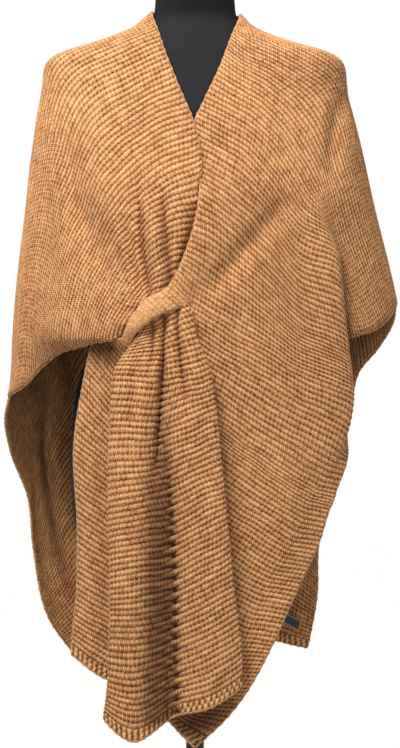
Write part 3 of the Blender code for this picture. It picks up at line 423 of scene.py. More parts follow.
class Board:
    """The nodes of one material or world."""

    def __init__(self, tree: bpy.types.NodeTree) -> None:
        """Clear the tree and keep it."""
        self.tree = tree
        tree.nodes.clear()

    def add(
        self, kind: str, settings: Mapping[str, object] | None = None,
        inputs: Mapping[str | int, object] | None = None,
    ) -> bpy.types.Node:
        """Add one node.

        Args:
            kind: the node's type.
            settings: its settings, set first; "stops" are a ramp's places and colours.
            inputs: values or signals for its sockets, by name or number.

        Returns:
            The new node.
        """
        node = self.tree.nodes.new(kind)
        for name, value in (settings or {}).items():
            if name == "stops":
                self._set_stops(node.color_ramp, value)
            else:
                setattr(node, name, value)
        for key, value in (inputs or {}).items():
            if isinstance(value, Signal):
                self.tree.links.new(value.socket, node.inputs[key])
            else:
                node.inputs[key].default_value = value
        return node

    def signal(
        self, kind: str, settings: Mapping[str, object] | None = None,
        inputs: Mapping[str | int, object] | None = None, output: str | int = 0,
    ) -> Signal:
        """Add one node and take one of its outputs as a signal."""
        return Signal(self, self.add(kind, settings, inputs).outputs[output])

    def blend(self, share: Number, first: object, second: object, kind: str = "MIX") -> Signal:
        """Mix two colours by a share, in one of the ways of mixing."""
        return self.signal(
            "ShaderNodeMix", {"data_type": "RGBA", "blend_type": kind},
            {0: share, 6: first, 7: second}, output=2,
        )

    def ramp(self, share: Number, *stops: tuple[float, Colour]) -> Signal:
        """Colour at a share of the way along some stops."""
        return self.signal("ShaderNodeValToRGB", {"stops": stops}, {0: share})

    def noise(self, place: Signal, scale: float, detail: float) -> Signal:
        """Soft noise from 0 to 1 at a place."""
        return self.signal(
            "ShaderNodeTexNoise", inputs={"Vector": place, "Scale": scale, "Detail": detail},
        )

    def bands(self, place: Signal, inputs: Mapping[str, float]) -> Signal:
        """Slanting bands from 0 to 1 at a place."""
        return self.signal(
            "ShaderNodeTexWave", {"wave_type": "BANDS", "bands_direction": "DIAGONAL"},
            {"Vector": place, **inputs}, output="Fac",
        )

    def object_place(self) -> Signal:
        """Place on the object itself, in metres."""
        return self.signal("ShaderNodeTexCoord", output="Object")

    def map_parts(self, name: str) -> tuple[Signal, Signal]:
        """Both coordinates of a map."""
        place = self.signal("ShaderNodeUVMap", {"uv_map": name})
        parts = self.add("ShaderNodeSeparateXYZ", inputs={0: place})
        return Signal(self, parts.outputs["X"]), Signal(self, parts.outputs["Y"])

    def bump(self, height: Signal, distance: float, strength: float) -> Signal:
        """Normal of a surface with this relief."""
        return self.signal(
            "ShaderNodeBump", inputs={"Strength": strength, "Distance": distance, "Height": height},
        )

    def finish(self, inputs: Mapping[str, object]) -> None:
        """Make the surface one principled shader with these inputs."""
        shader = self.signal("ShaderNodeBsdfPrincipled", inputs=inputs)
        self.add("ShaderNodeOutputMaterial", inputs={"Surface": shader})

    def _set_stops(self, ramp: bpy.types.ColorRamp, stops: Sequence[tuple[float, Colour]]) -> None:
        """Give a ramp its stops."""
        while len(ramp.elements) < len(stops):
            ramp.elements.new(1.0)
        for element, (place, colour) in zip(ramp.elements, stops):
            element.position = place
            element.color = colour


def new_material(name: str) -> tuple[bpy.types.Material, Board]:
    """A material and its empty board."""
    material = bpy.data.materials.new(name)
    material.use_nodes = True
    return material, Board(material.node_tree)


@dataclass(frozen=True)
class GarterKnit:
    """Heathered camel yarn in garter stitch with a ribbed band above the hem; painted shade in the pits
    and painted highlight on the crests.
    """

    name: str = "camel_garter_knit"
    # Ramp colours: painted shade in the pits between ridges, the yarn's own colour, painted highlight on
    # the crests
    pit: Colour = (0.100, 0.034, 0.012, 1.0)
    body: Colour = (0.500, 0.230, 0.088, 1.0)
    crest: Colour = (0.840, 0.490, 0.225, 1.0)
    warm_tint: Colour = (1.06, 0.90, 0.80, 1.0)
    cool_tint: Colour = (1.0, 1.08, 1.12, 1.0)
    # Painted shade, multiplied into the yarn along the panels' shaded lines
    painted_shade_tint: Colour = (0.20, 0.15, 0.12, 1.0)
    stitch_width: float = 0.0062
    course_shift: float = 0.37
    lean: float = 0.42
    ridge_power: float = 1.8
    band: float = 1.8
    fibre_share: float = 0.95
    stitch_share: float = 0.22
    mottle_share: float = 0.40
    patch_share: float = 0.22
    bump: float = 0.0011
    roughness: float = 0.88
    sheen: float = 0.22

    def make(self) -> bpy.types.Material:
        """Build the material.

        Returns:
            The knit, whose stitches follow the flat-cut map.
        """
        material, board = new_material(self.name)
        side, along = board.map_parts(FLAT_MAP)
        # The pull map's second coordinate is the strength of the painted shade
        pull, hollow = board.map_parts(PULL_AND_PAINTED_SHADE_MAP)
        across = side / self.stitch_width
        course = along.floor()
        shifted = across + course * self.course_shift
        loop = self._loop(across, shifted, along - course - 0.5)
        rib = (across * 0.75).wave() * 0.75 + 0.15
        loop = loop.toward(rib, along < self.band)
        loop = loop.toward(self._taut_loop(shifted, along - course - 0.5), pull * 0.88)

        flat = board.signal("ShaderNodeUVMap", {"uv_map": FLAT_MAP})
        fibres = board.noise(self._stretched(board, flat, (300.0, 3.6, 1.0)), 1.0, 3.0)
        mottle = board.noise(self._stretched(board, flat, (30.0, 0.9, 1.0)), 1.0, 2.0)
        patch = board.noise(board.object_place(), 9.0, 1.0)
        stitch = board.signal("ShaderNodeCombineXYZ", inputs={0: shifted.floor(), 1: course})
        chance = board.signal(
            "ShaderNodeTexWhiteNoise", {"noise_dimensions": "2D"}, {"Vector": stitch},
        )
        # The ramp paints shade into the pits and highlight onto the crests by the yarn's height; the
        # noises add the heather's real tone
        shade = loop + (fibres - 0.5) * self.fibre_share + (chance - 0.5) * self.stitch_share
        shade = shade + (mottle - 0.5) * self.mottle_share + (patch - 0.5) * self.patch_share
        colour = board.ramp(shade, (0.06, self.pit), (0.50, self.body), (0.94, self.crest))
        tint = board.blend(mottle, self.warm_tint, self.cool_tint)
        colour = board.blend(1.0, colour, tint, "MULTIPLY")
        # Painted shade along the shaded lines: the colour is multiplied by the shade tint
        painted_shade_colour = board.blend(hollow, (1.0, 1.0, 1.0, 1.0), self.painted_shade_tint)
        board.finish({
            "Base Color": board.blend(1.0, colour, painted_shade_colour, "MULTIPLY"),
            "Roughness": self.roughness,
            "Normal": board.bump(loop + (fibres - 0.5) * 0.35, self.bump, 0.85),
            "Sheen Weight": self.sheen, "Sheen Roughness": 0.45,
            "Sheen Tint": (1.0, 0.82, 0.62, 1.0), "Specular IOR Level": 0.25,
        })
        return material

    def _loop(self, across: Signal, shifted: Signal, beside: Signal) -> Signal:
        """Height of the yarn in a loose course, from a pit at 0 to a crest at 1."""
        ridge = 1 - abs(beside * 2) ** self.ridge_power
        bar = shifted.wave()
        crest = self._strand(shifted, beside) * 0.38 + bar * 0.16 + 0.46
        return ridge * crest + (1 - ridge) * bar * 0.38 - 0.06

    def _taut_loop(self, shifted: Signal, beside: Signal) -> Signal:
        """Height of the yarn where the strap pulls the stitches flat."""
        return self._strand(shifted, beside) * 0.22 + shifted.wave() * 0.14 + 0.52

    def _strand(self, shifted: Signal, beside: Signal) -> Signal:
        """The two leaning strands of each stitch."""
        return ((shifted + beside * self.lean) * 2).wave()

    def _stretched(self, board: Board, place: Signal, scale: tuple[float, float, float]) -> Signal:
        """A place multiplied by a scale along each axis."""
        return board.signal("ShaderNodeVectorMath", {"operation": "MULTIPLY"}, {0: place, 1: scale})


@dataclass(frozen=True)
class EdgeYarn:
    """The same yarn in the chained edges, plied round the edge."""

    name: str = "camel_edge_yarn"
    dark: Colour = (0.330, 0.140, 0.050, 1.0)
    light: Colour = (0.680, 0.375, 0.170, 1.0)

    def make(self) -> bpy.types.Material:
        """Build the material."""
        material, board = new_material(self.name)
        place = board.object_place()
        ply = board.bands(place, {"Scale": 170.0, "Distortion": 3.0, "Detail": 1.0})
        shade = board.noise(place, 520.0, 3.0) * 0.55 + ply * 0.45
        board.finish({
            "Base Color": board.ramp(shade, (0.2, self.dark), (0.7, self.light)),
            "Roughness": 0.88, "Normal": board.bump(shade, 0.0006, 0.6),
            "Sheen Weight": 0.22, "Sheen Roughness": 0.45, "Specular IOR Level": 0.25,
        })
        return material


@dataclass(frozen=True)
class JerseyCover:
    """Matt black stretch jersey over the form, with faint drag lines."""

    name: str = "black_form_jersey"
    dark: Colour = (0.009, 0.009, 0.010, 1.0)
    light: Colour = (0.026, 0.026, 0.029, 1.0)

    def make(self) -> bpy.types.Material:
        """Build the material."""
        material, board = new_material(self.name)
        place = board.object_place()
        grain = board.noise(place, 900.0, 2.0)
        wear = board.noise(place, 14.0, 2.0)
        drag = board.bands(place, {"Scale": 5.0, "Distortion": 7.0, "Detail": 1.0, "Detail Scale": 0.7})
        relief = grain * 0.12 + drag * 0.8 + wear * 0.5
        board.finish({
            "Base Color": board.blend(grain * 0.6 + wear * 0.4, self.dark, self.light),
            "Roughness": 0.78, "Normal": board.bump(relief, 0.004, 0.7),
            "Sheen Weight": 0.02, "Sheen Roughness": 0.5, "Specular IOR Level": 0.12,
        })
        return material


@dataclass(frozen=True)
class SatinPaint:
    """Satin black paint on the stand's metal, with fine orange peel and dust."""

    name: str = "satin_black_paint"
    colour: Colour = (0.022, 0.022, 0.024, 1.0)
    dust: Colour = (0.085, 0.083, 0.080, 1.0)

    def make(self) -> bpy.types.Material:
        """Build the material."""
        material, board = new_material(self.name)
        place = board.object_place()
        cloud = board.noise(place, 22.0, 4.0)
        facing = board.signal("ShaderNodeNewGeometry", output="Normal")
        upward = board.signal("ShaderNodeSeparateXYZ", inputs={0: facing}, output="Z")
        settled = (upward - 0.3) * (cloud - 0.35) * 1.1
        board.finish({
            "Base Color": board.blend(settled, self.colour, self.dust),
            "Roughness": 0.34 + cloud * 0.16,
            "Normal": board.bump(board.noise(place, 420.0, 1.0), 0.0004, 0.25),
            "Coat Weight": 0.15, "Coat Roughness": 0.2,
        })
        return material


@dataclass(frozen=True)
class WovenTape:
    """Dark satin tape of the blank label, with pale woven edges."""

    name: str = "blank_label_tape"
    ground: Colour = (0.060, 0.062, 0.075, 1.0)
    border: Colour = (0.330, 0.340, 0.360, 1.0)

    def make(self) -> bpy.types.Material:
        """Build the material."""
        material, board = new_material(self.name)
        u, v = board.map_parts(FLAT_MAP)
        weave = (u * 46.0).wave() * 0.5 + (v * 30.0).wave() * 0.5
        edge = (0.38 - abs(v - 0.5)) < 0.0
        board.finish({
            "Base Color": board.blend(edge * 0.9, self.ground, self.border),
            "Roughness": 0.42 + weave * 0.14, "Normal": board.bump(weave, 0.0003, 0.5),
        })
        return material


@dataclass(frozen=True)
class PaleFloor:
    """Plain pale studio floor."""

    name: str = "pale_floor"
    colour: Colour = (0.60, 0.59, 0.57, 1.0)

    def make(self) -> bpy.types.Material:
        """Build the material."""
        material, board = new_material(self.name)
        seen = board.signal("ShaderNodeLightPath", output="Is Camera Ray")
        board.finish({
            "Base Color": self.colour, "Roughness": 0.95, "Specular IOR Level": 0.1,
            "Emission Color": board.blend(seen, (0.0, 0.0, 0.0, 1.0), (1.0, 1.0, 1.0, 1.0)),
            "Emission Strength": 0.70,
        })
        return material


@dataclass(frozen=True)
class DrapeBody:
    """The hollow body that the cloth lies on, by its outline at each level."""

    outline: Sequence[Sequence[float]] = OUTLINE
    power: float = 2.2
    probe: float = 0.00002
    seat_rounds: int = 8
    longest_move: float = 0.01

    def outline_at(self, levels: Array) -> tuple[Array, Array, Array, Array]:
        """Left and right half width, front and back depth at the levels."""
        get = columns_of(self.outline[::-1], OUTLINE_COLUMNS)
        sides = np.stack([get[name] for name in OUTLINE_COLUMNS[1:]], 1) * CM
        return tuple(smooth_curve(get["level"] * CM, sides, levels, level=True).T)

    def value(self, points: Array) -> Array:
        """How far points lie outside the body, as a share of its size."""
        left, right, front, back = self.outline_at(points[:, 2])
        half = np.where(points[:, 0] < 0, left, right)
        depth = np.where(points[:, 1] < 0, front, back)
        total = (abs(points[:, 0]) / half) ** self.power + (abs(points[:, 1]) / depth) ** self.power
        return total ** (1 / self.power) - 1

    def slope(self, points: Array) -> Array:
        """Gradient of the value at points."""
        slope = np.zeros_like(points)
        for axis in range(3):
            ahead = points.copy()
            behind = points.copy()
            ahead[:, axis] += self.probe
            behind[:, axis] -= self.probe
            slope[:, axis] = (self.value(ahead) - self.value(behind)) / (2 * self.probe)
        return slope

    def seat(self, points: Array) -> Array:
        """Points moved square onto the body."""
        points = points.copy()
        for _ in range(self.seat_rounds):
            slope = self.slope(points)
            move = (self.value(points) / (slope ** 2).sum(axis=1))[:, None] * slope
            length = np.linalg.norm(move, axis=1)[:, None]
            points -= move * np.minimum(1, self.longest_move / np.maximum(length, 1e-9))
        return points

    def normal(self, points: Array) -> Array:
        """Unit normals at points on the body."""
        return unit(self.slope(points))

    def depth_at(self, x: Array, z: Array, front: bool) -> Array:
        """Y of the body's front or back at a place on the front view."""
        left, right, fore, aft = self.outline_at(z)
        half = np.where(x < 0, left, right)
        rest = np.clip(1 - (abs(x) / half) ** self.power, 0, 1)
        return (-fore if front else aft) * rest ** (1 / self.power)

    def with_depth(self, x: Array, z: Array, lift: Array) -> Array:
        """Places on the front view beside their draped depth and lift."""
        y = self.depth_at(x.ravel(), z.ravel(), True).reshape(x.shape)
        return np.stack([x, y, z, lift], axis=-1)

    def raise_grid(self, grid: Array, folds: Sequence[Sequence[float]]) -> Array:
        """Settle a grid onto the body.

        Args:
            grid: x, y, z and lift of each point.
            folds: rows of a fold table.

        Returns:
            The points, lifted and folded.
        """
        flat = grid.reshape(-1, 4)
        seated = self.seat(flat[:, :3])
        lift = flat[:, 3] - fold_depth(seated[:, 0], seated[:, 2], folds)
        points = seated + self.normal(seated) * lift[:, None]
        return points.reshape(*grid.shape[:2], 3)


def fold_depth(x: Array, z: Array, folds: Sequence[Sequence[float]]) -> Array:
    """Sum of the folds' depths at places on the front view."""
    total = np.zeros_like(x)
    t = np.linspace(0, 1, FOLD_STOPS)
    for row in folds:
        fold = dict(zip(FOLD_COLUMNS, row))
        stops = [(fold["x0"], fold["z0"]), (fold["x1"], fold["z1"]), (fold["x2"], fold["z2"])]
        line = smooth_curve((0, 0.5, 1), stops, t) * CM
        away = np.hypot(x[:, None] - line[:, 0], z[:, None] - line[:, 1])
        along = t[away.argmin(axis=1)]
        fade = np.sin(np.pi * along) ** FOLD_FADE
        if fold["open_end"]:
            fade = np.sin(np.pi / 2 * np.minimum(1, along * OPEN_REACH)) ** OPEN_FADE
        beside = away.min(axis=1) / (fold["width"] * MM)
        total += fold["depth"] * MM * fade * np.exp(-beside ** 2)
    return total


def add_mesh(
    name: str, points: Array, faces: Sequence[Sequence[int]] | Array, material: bpy.types.Material,
    maps: Mapping[str, Array] | None = None, crease: float = 180.0,
) -> bpy.types.Object:
    """Link a smooth mesh object that rides on the part.

    Args:
        name: the piece's name.
        points: its vertices.
        faces: its faces, as vertex numbers.
        material: its finish.
        maps: its maps by name, one place for each face corner.
        crease: edges sharper than this many degrees stay sharp.

    Returns:
        The object.
    """
    mesh = bpy.data.meshes.new(name)
    mesh.from_pydata(np.asarray(points, float).tolist(), [], [list(map(int, face)) for face in faces])
    mesh.materials.append(material)
    for key, places in (maps or {}).items():
        layer = mesh.uv_layers.new(name=key)
        layer.uv.foreach_set("vector", places.astype(np.float32).ravel())
    mesh.shade_smooth()
    if crease < 180:
        mesh.set_sharp_from_angle(angle=math.radians(crease))
    piece = bpy.data.objects.new(name, mesh)
    bpy.context.scene.collection.objects.link(piece)
    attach(piece, "root")
    return piece


@dataclass
class Sheet:
    """One panel's points and what its skins need."""

    points: Array
    quads: Array
    flat: Array
    course: Array
    pull: Array
    normals: Array = field(init=False)

    def __post_init__(self) -> None:
        """Find the points' normals from the quads round them."""
        faces = self._crosses()
        total = np.zeros_like(self.points)
        for corner in range(4):
            np.add.at(total, self.quads[:, corner], faces)
        self.normals = unit(total)

    def area(self) -> float:
        """Area of the sheet in square metres."""
        return float(np.linalg.norm(self._crosses(), axis=1).sum() / 2)

    def _crosses(self) -> Array:
        """Normals of the quads, twice as long as each quad's area."""
        corners = self.points[self.quads]
        return np.cross(corners[:, 2] - corners[:, 0], corners[:, 3] - corners[:, 1])


@dataclass
class KnitPanel:
    """A garter-stitch panel, built as a thin shell whose ridges stand out of both skins."""

    body: DrapeBody
    finish: bpy.types.Material
    name: str = "panel"
    wall: float = 0.0030
    ridge_pitch: float = 0.0074
    ridge_height: float = 0.0011
    points_a_ridge: int = 4
    wobble: float = 0.0010
    seed: int = 1
    painted_shade_lines: Sequence[Sequence[float]] = ()

    def ridge_places(self, surface: Callable[[Array], Array], places: Array) -> tuple[Array, int]:
        """Row places that give every ridge the same mean width.

        Args:
            surface: the panel's points at row places.
            places: row places that are close together.

        Returns:
            The fine row places and the number of ridges.
        """
        points = surface(places)
        across = points[:, 1:] - points[:, :-1]
        down = points[1:, :-1] - points[:-1, :-1]
        area = np.linalg.norm(np.cross(across[:-1], down), axis=2).sum(axis=1)
        width = np.linalg.norm(across, axis=2).sum(axis=1)
        length = np.concatenate([[0], np.cumsum(area * 2 / (width[1:] + width[:-1]))])
        ridges = round(length[-1] / self.ridge_pitch)
        even = np.linspace(0, length[-1], ridges * self.points_a_ridge + 1)
        return np.interp(even, length, places), ridges

    def flat_places(self, points: Array, ridges: int, anchor: int) -> tuple[Array, Array]:
        """Each point's place on the flat cut.

        Args:
            points: the panel's grid.
            ridges: how many ridges it has.
            anchor: the column that the widths are counted from.

        Returns:
            The distance across of each ridge at each column, and each row's ridges above the hem.
        """
        steps = np.linalg.norm(np.diff(points, axis=1), axis=2)
        across = np.concatenate([np.zeros((len(points), 1)), np.cumsum(steps, axis=1)], axis=1)
        across -= across[:, anchor:anchor + 1]
        middle = across[self.points_a_ridge // 2::self.points_a_ridge][:ridges]
        return middle, np.linspace(ridges, 0, len(points))

    def unsettle(self, points: Array) -> Array:
        """Let the rows wander a little, as hand-knit rows do."""
        x = points[:, :, 0]
        z = points[:, :, 2]
        down = unit(np.gradient(points, axis=0))
        shift = soft_noise(x + points[:, :, 1], z, 0.06, self.seed) * self.wobble
        fade = np.sin(np.pi * np.linspace(0, 1, len(points)))[:, None] ** 0.3
        return points + down * (shift * fade)[:, :, None]

    def corner_map(self, middle: Array, height: Array, columns: int) -> Array:
        """Flat-cut places of every quad's corners, each ridge with its own stitches."""
        rows = len(height)
        ridge = np.minimum(np.arange(rows - 1) // self.points_a_ridge, len(middle) - 1)
        left = middle[ridge][:, :-1]
        right = middle[ridge][:, 1:]
        top = np.repeat(height[:-1, None], columns - 1, axis=1)
        low = np.repeat(height[1:, None], columns - 1, axis=1)
        corners = np.stack([
            np.stack([left, top], -1), np.stack([left, low], -1),
            np.stack([right, low], -1), np.stack([right, top], -1),
        ], axis=2)
        return corners.reshape(-1, 4, 2)

    def shell(self, sheet: Sheet) -> bpy.types.Object:
        """Turn a sheet into a closed thin shell with ridges.

        Args:
            sheet: the panel's middle surface.

        Returns:
            The panel's object.
        """
        phase = sheet.course * TAU
        calm = 1 - 0.95 * sheet.pull
        outer_rise = (0.35 - np.cos(phase) * 0.65) * self.ridge_height * calm
        inner_rise = (0.35 + np.cos(phase) * 0.65) * self.ridge_height * calm
        outer = sheet.points + sheet.normals * (self.wall / 2 + outer_rise)[:, None]
        inner = sheet.points - sheet.normals * (self.wall / 2 + inner_rise)[:, None]
        count = len(sheet.points)
        quads = sheet.quads
        starts = np.concatenate([quads[:, k] for k in range(4)])
        ends = np.concatenate([quads[:, (k + 1) % 4] for k in range(4)])
        corner = np.concatenate([np.arange(len(quads)) * 4 + k for k in range(4)])
        following = np.concatenate([np.arange(len(quads)) * 4 + (k + 1) % 4 for k in range(4)])
        free = ~np.isin(starts * count + ends, ends * count + starts)
        a, b = starts[free], ends[free]
        rims = np.stack([b, a, a + count, b + count], axis=1)
        faces = np.concatenate([quads, quads[:, ::-1] + count, rims])
        flat = sheet.flat.reshape(-1, 2)
        start, end = flat[corner[free]], flat[following[free]]
        rim_flat = np.stack([end, start, start, end], axis=1)
        skins = np.concatenate([sheet.flat, sheet.flat[:, ::-1], rim_flat]).reshape(-1, 2)
        owners = np.concatenate([quads, quads[:, ::-1], np.stack([b, a, a, b], axis=1)]).ravel()
        # Painted shade: how strongly the yarn is darkened where shade falls along the panel's shaded
        # lines
        hollow = fold_depth(sheet.points[:, 0], sheet.points[:, 2], self.painted_shade_lines)
        pull = np.stack([sheet.pull[owners], hollow[owners]], axis=1)
        return add_mesh(
            self.name, np.vstack([outer, inner]), faces, self.finish, {FLAT_MAP: skins, PULL_AND_PAINTED_SHADE_MAP: pull},
        )


@dataclass
class PulledFront(KnitPanel):
    """The front that is gathered, passes behind the strap and hangs as a tail."""

    name: str = "pulled_front_knit"
    painted_shade_lines: Sequence[Sequence[float]] = PULLED_PAINTED_SHADE
    cut_area: float = 0.33
    columns: int = 92
    valley_crowding: float = 0.45
    pleats: int = 4
    pleat_depth: float = 0.004
    pleat_reach: tuple[float, float] = (2.6, 1.9)
    side_drop: float = 0.004
    under_lift: float = 0.013
    measured_columns: int = 48
    measured_step: int = 4
    seed: int = 3
    flat: tuple[float, float] = (0.60, 0.95)
    grid: Array = field(init=False)

    def controls(self) -> Array:
        """Controls of the courses, then of the tail's."""
        get = columns_of(PULLED_PLACES, PULLED_PLACE_COLUMNS)
        get |= columns_of(PULLED_LIFTS, PULLED_LIFT_COLUMNS)
        names = ("front", "chest", "upper", "middle", "lower", "rim", "side")
        x = np.stack([get[name + "_x"] for name in names], 1) * CM
        z = np.stack([get[name + "_z"] for name in names], 1) * CM
        front, middle, rim, side = (get[name] * MM for name in PULLED_LIFT_COLUMNS)
        chest = 0.3 * front + 0.7 * middle
        lift = np.stack([front, chest, middle, middle, (middle + rim) / 2, rim, side], 1)
        upper = self.body.with_depth(x, z, lift)

        tail = columns_of(TAIL_COURSES, TAIL_COLUMNS)
        rx, rz, vx, vz, lx, lz = (tail[name] * CM for name in TAIL_COLUMNS[:6])
        valley = tail["valley_lift"] * MM
        crest = tail["crest_lift"] * MM
        tuck = tail["tuck"] * MM
        edge = 0.55 * crest + 0.45 * self.under_lift
        under = np.full(len(rx), self.under_lift)
        x = np.stack([rx - tuck, rx, 0.55 * rx + 0.45 * vx, vx, 0.45 * vx + 0.55 * lx, lx, lx + tuck], 1)
        sag = tail["sag"] * CM
        right_crest = 0.55 * rz + 0.45 * vz - 0.3 * sag
        left_crest = 0.45 * vz + 0.55 * lz - sag
        drop = self.side_drop
        z = np.stack([rz - drop, rz, right_crest, vz, left_crest, lz, lz - drop], 1)
        lift = np.stack([under, edge, crest, valley, crest, edge, under], 1)
        return np.concatenate([upper, self.body.with_depth(x, z, lift)])

    def surface(self, rows: Array, across: Array) -> Array:
        """Points at row places and shares across, front edge first."""
        controls = self.controls()
        flat = controls.reshape(len(controls), -1)
        count = controls.shape[1]
        placed = smooth_curve(np.arange(len(controls)), flat, rows).reshape(len(rows), count, 4)
        knots = np.linspace(0, 1, count)
        grid = smooth_curve(knots, placed.transpose(1, 0, 2).reshape(count, -1), across)
        grid = grid.reshape(len(across), len(rows), 4).transpose(1, 0, 2).copy()
        reach = np.where(rows < GATHER_COURSE, *self.pleat_reach)
        strength = np.exp(-((rows - GATHER_COURSE) / reach) ** 2)
        wave = np.cos(TAU * self.pleats * across) * np.sin(np.pi * across)
        grid[:, :, 3] += self.pleat_depth * strength[:, None] * wave
        grid[rows <= 0, :, 3] = 0
        return self.body.raise_grid(grid, PULLED_FOLDS)

    def build(self) -> bpy.types.Object:
        """Build the panel in place of its solid."""
        even = np.linspace(0, 1, self.columns + 1)
        across = even - self.valley_crowding * np.sin(TAU * (even - 0.5)) / TAU
        last = len(PULLED_PLACES) + len(TAIL_COURSES) - 1
        close = np.linspace(0, last, last * 10 + 1)
        measured = across[:self.measured_columns:self.measured_step]
        rows, ridges = self.ridge_places(lambda t: self.surface(t, measured), close)
        points = self.unsettle(self.surface(rows, across))[:, ::-1]
        middle, height = self.flat_places(points, ridges, self.columns // 2)
        count = len(rows)
        course = np.repeat(np.arange(count) / self.points_a_ridge, self.columns + 1)
        sheet = Sheet(
            points.reshape(-1, 3), grid_quads(count, self.columns + 1),
            self.corner_map(middle, height, self.columns + 1), course, np.zeros(course.size),
        )
        self.grid = points
        piece = self.shell(sheet)
        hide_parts("pulled_front")
        LOG.info("%s: %d ridges, %.3f square metres", self.name, ridges, sheet.area())
        return piece


@dataclass
class SlottedFront(KnitPanel):
    """The front with a lengthwise slit, whose strap holds the other front."""

    name: str = "slotted_front_knit"
    painted_shade_lines: Sequence[Sequence[float]] = SLOTTED_PAINTED_SHADE
    cut_area: float = 0.33
    ridge_pitch: float = 0.0063
    strap_columns: int = 8
    columns: int = 84
    strap_crown: float = 0.002
    strap_middle: float = 8.9
    strap_reach: float = 1.9
    measured_columns: int = 36
    measured_step: int = 3
    seed: int = 5
    flat: tuple[float, float] = (0.60, 0.95)
    grid: Array = field(init=False)
    slit_edges: list[Array] = field(init=False)

    def controls(self) -> Array:
        """Controls of the courses, from the front edge round to the side edge."""
        get = columns_of(SLOTTED_PLACES, SLOTTED_PLACE_COLUMNS)
        get |= columns_of(SLOTTED_LIFTS, SLOTTED_LIFT_COLUMNS)
        step = get["fold_step"] * MM
        behind_x = get["fold_x"] + 0.4 * (get["side_x"] - get["fold_x"]) - 4 * step
        behind_z = get["fold_z"] + 0.42 * (get["side_z"] - get["fold_z"])
        names = ("edge", "slit", "chest", "bust", "arm", "fold")
        x = np.stack([get[name + "_x"] for name in names] + [behind_x, get["side_x"]], 1)
        z = np.stack([get[name + "_z"] for name in names] + [behind_z, get["side_z"]], 1)
        rest = np.zeros(len(step))
        lift = np.stack([
            get["edge_lift"] * MM, get["slit_lift"] * MM, rest, rest, rest,
            step * 0.3, step * 0.3 - step, get["side_lift"] * MM,
        ], 1)
        return self.body.with_depth(x * CM, z * CM, lift)

    def surface(self, rows: Array, strip: Array, rest: Array) -> tuple[Array, Array]:
        """Points at row places.

        Args:
            rows: row places.
            strip: shares across from the front edge to the slit.
            rest: shares across from the slit to the side edge.

        Returns:
            The grid, and the slit's far side at every row.
        """
        controls = self.controls()
        flat = controls.reshape(len(controls), -1)
        knots = np.array(SLOTTED_KNOTS)
        placed = smooth_curve(np.arange(len(controls)), flat, rows).reshape(len(rows), len(knots), 4)
        get = columns_of(STRAP_COURSES, STRAP_COLUMNS)
        strap = self.body.with_depth(get["slit_x"] * CM, get["slit_z"] * CM, get["slit_lift"] * MM)
        near = smooth_curve(np.arange(SLIT_FIRST, SLIT_LAST + 1), strap, rows)
        grid = np.zeros((len(rows), len(strip) + len(rest) - 1, 4))
        far = np.zeros((len(rows), 1, 4))
        share = (strip / knots[1])[:, None]
        across = np.concatenate([strip, rest[1:]])
        for i, row in enumerate(rows):
            if SLIT_FIRST < row < SLIT_LAST:
                edge = placed[i, 0]
                grid[i, :len(strip)] = edge + share * (near[i] - edge)
                grid[i, :len(strip), 3] += self.strap_crown * np.sin(np.pi * share[:, 0])
                beyond = smooth_curve(knots[1:], placed[i, 1:], rest)
                far[i, 0] = beyond[0]
                grid[i, len(strip):] = beyond[1:]
            else:
                grid[i] = smooth_curve(knots, placed[i], across)
                far[i, 0] = grid[i, len(strip) - 1]
        grid[rows <= 0, :, 3] = 0
        return self.body.raise_grid(grid, SLOTTED_FOLDS), self.body.raise_grid(far, SLOTTED_FOLDS)

    def build(self) -> bpy.types.Object:
        """Build the panel in place of its solid."""
        slit = SLOTTED_KNOTS[1]
        strip = np.linspace(0, slit, self.strap_columns + 1)
        rest = np.linspace(slit, 1, self.columns - self.strap_columns + 1)
        last = len(SLOTTED_PLACES) - 1
        close = np.linspace(0, last, last * 10 + 1)
        measured = rest[:self.measured_columns:self.measured_step]
        rows, ridges = self.ridge_places(lambda t: self.surface(t, strip[-1:], measured)[0], close)
        points, far = self.surface(rows, strip, rest)
        open_rows = np.flatnonzero((rows > SLIT_FIRST) & (rows < SLIT_LAST))
        both = self.unsettle(np.concatenate([points, far], axis=1))
        points, far = both[:, :-1], both[:, -1]
        count, width = points.shape[:2]
        middle, height = self.flat_places(points, ridges, 0)
        course = np.repeat(np.arange(count) / self.points_a_ridge, width)
        across = np.concatenate([strip, rest[1:]])
        narrow = np.exp(-((rows - self.strap_middle) / self.strap_reach) ** 2)
        inside = np.clip((slit * 1.5 - across) / (slit * 0.5), 0, 1)
        pull = (narrow[:, None] * inside).ravel()

        quads = grid_quads(count, width)
        extra = np.full(count, -1)
        extra[open_rows] = count * width + np.arange(len(open_rows))
        beyond = (quads[:, 0] % width) >= self.strap_columns
        on_slit = (quads % width == self.strap_columns) & beyond[:, None] & (extra[quads // width] >= 0)
        quads = np.where(on_slit, extra[quads // width], quads)
        sheet = Sheet(
            np.vstack([points.reshape(-1, 3), far[open_rows]]), quads,
            self.corner_map(middle, height, width),
            np.concatenate([course, open_rows / self.points_a_ridge]),
            np.concatenate([pull, np.zeros(len(open_rows))]),
        )
        self.grid = points
        self.slit_edges = [points[open_rows, self.strap_columns], far[open_rows]]
        piece = self.shell(sheet)
        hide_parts("slotted_front")
        LOG.info("%s: %d ridges, %.3f square metres", self.name, ridges, sheet.area())
        return piece


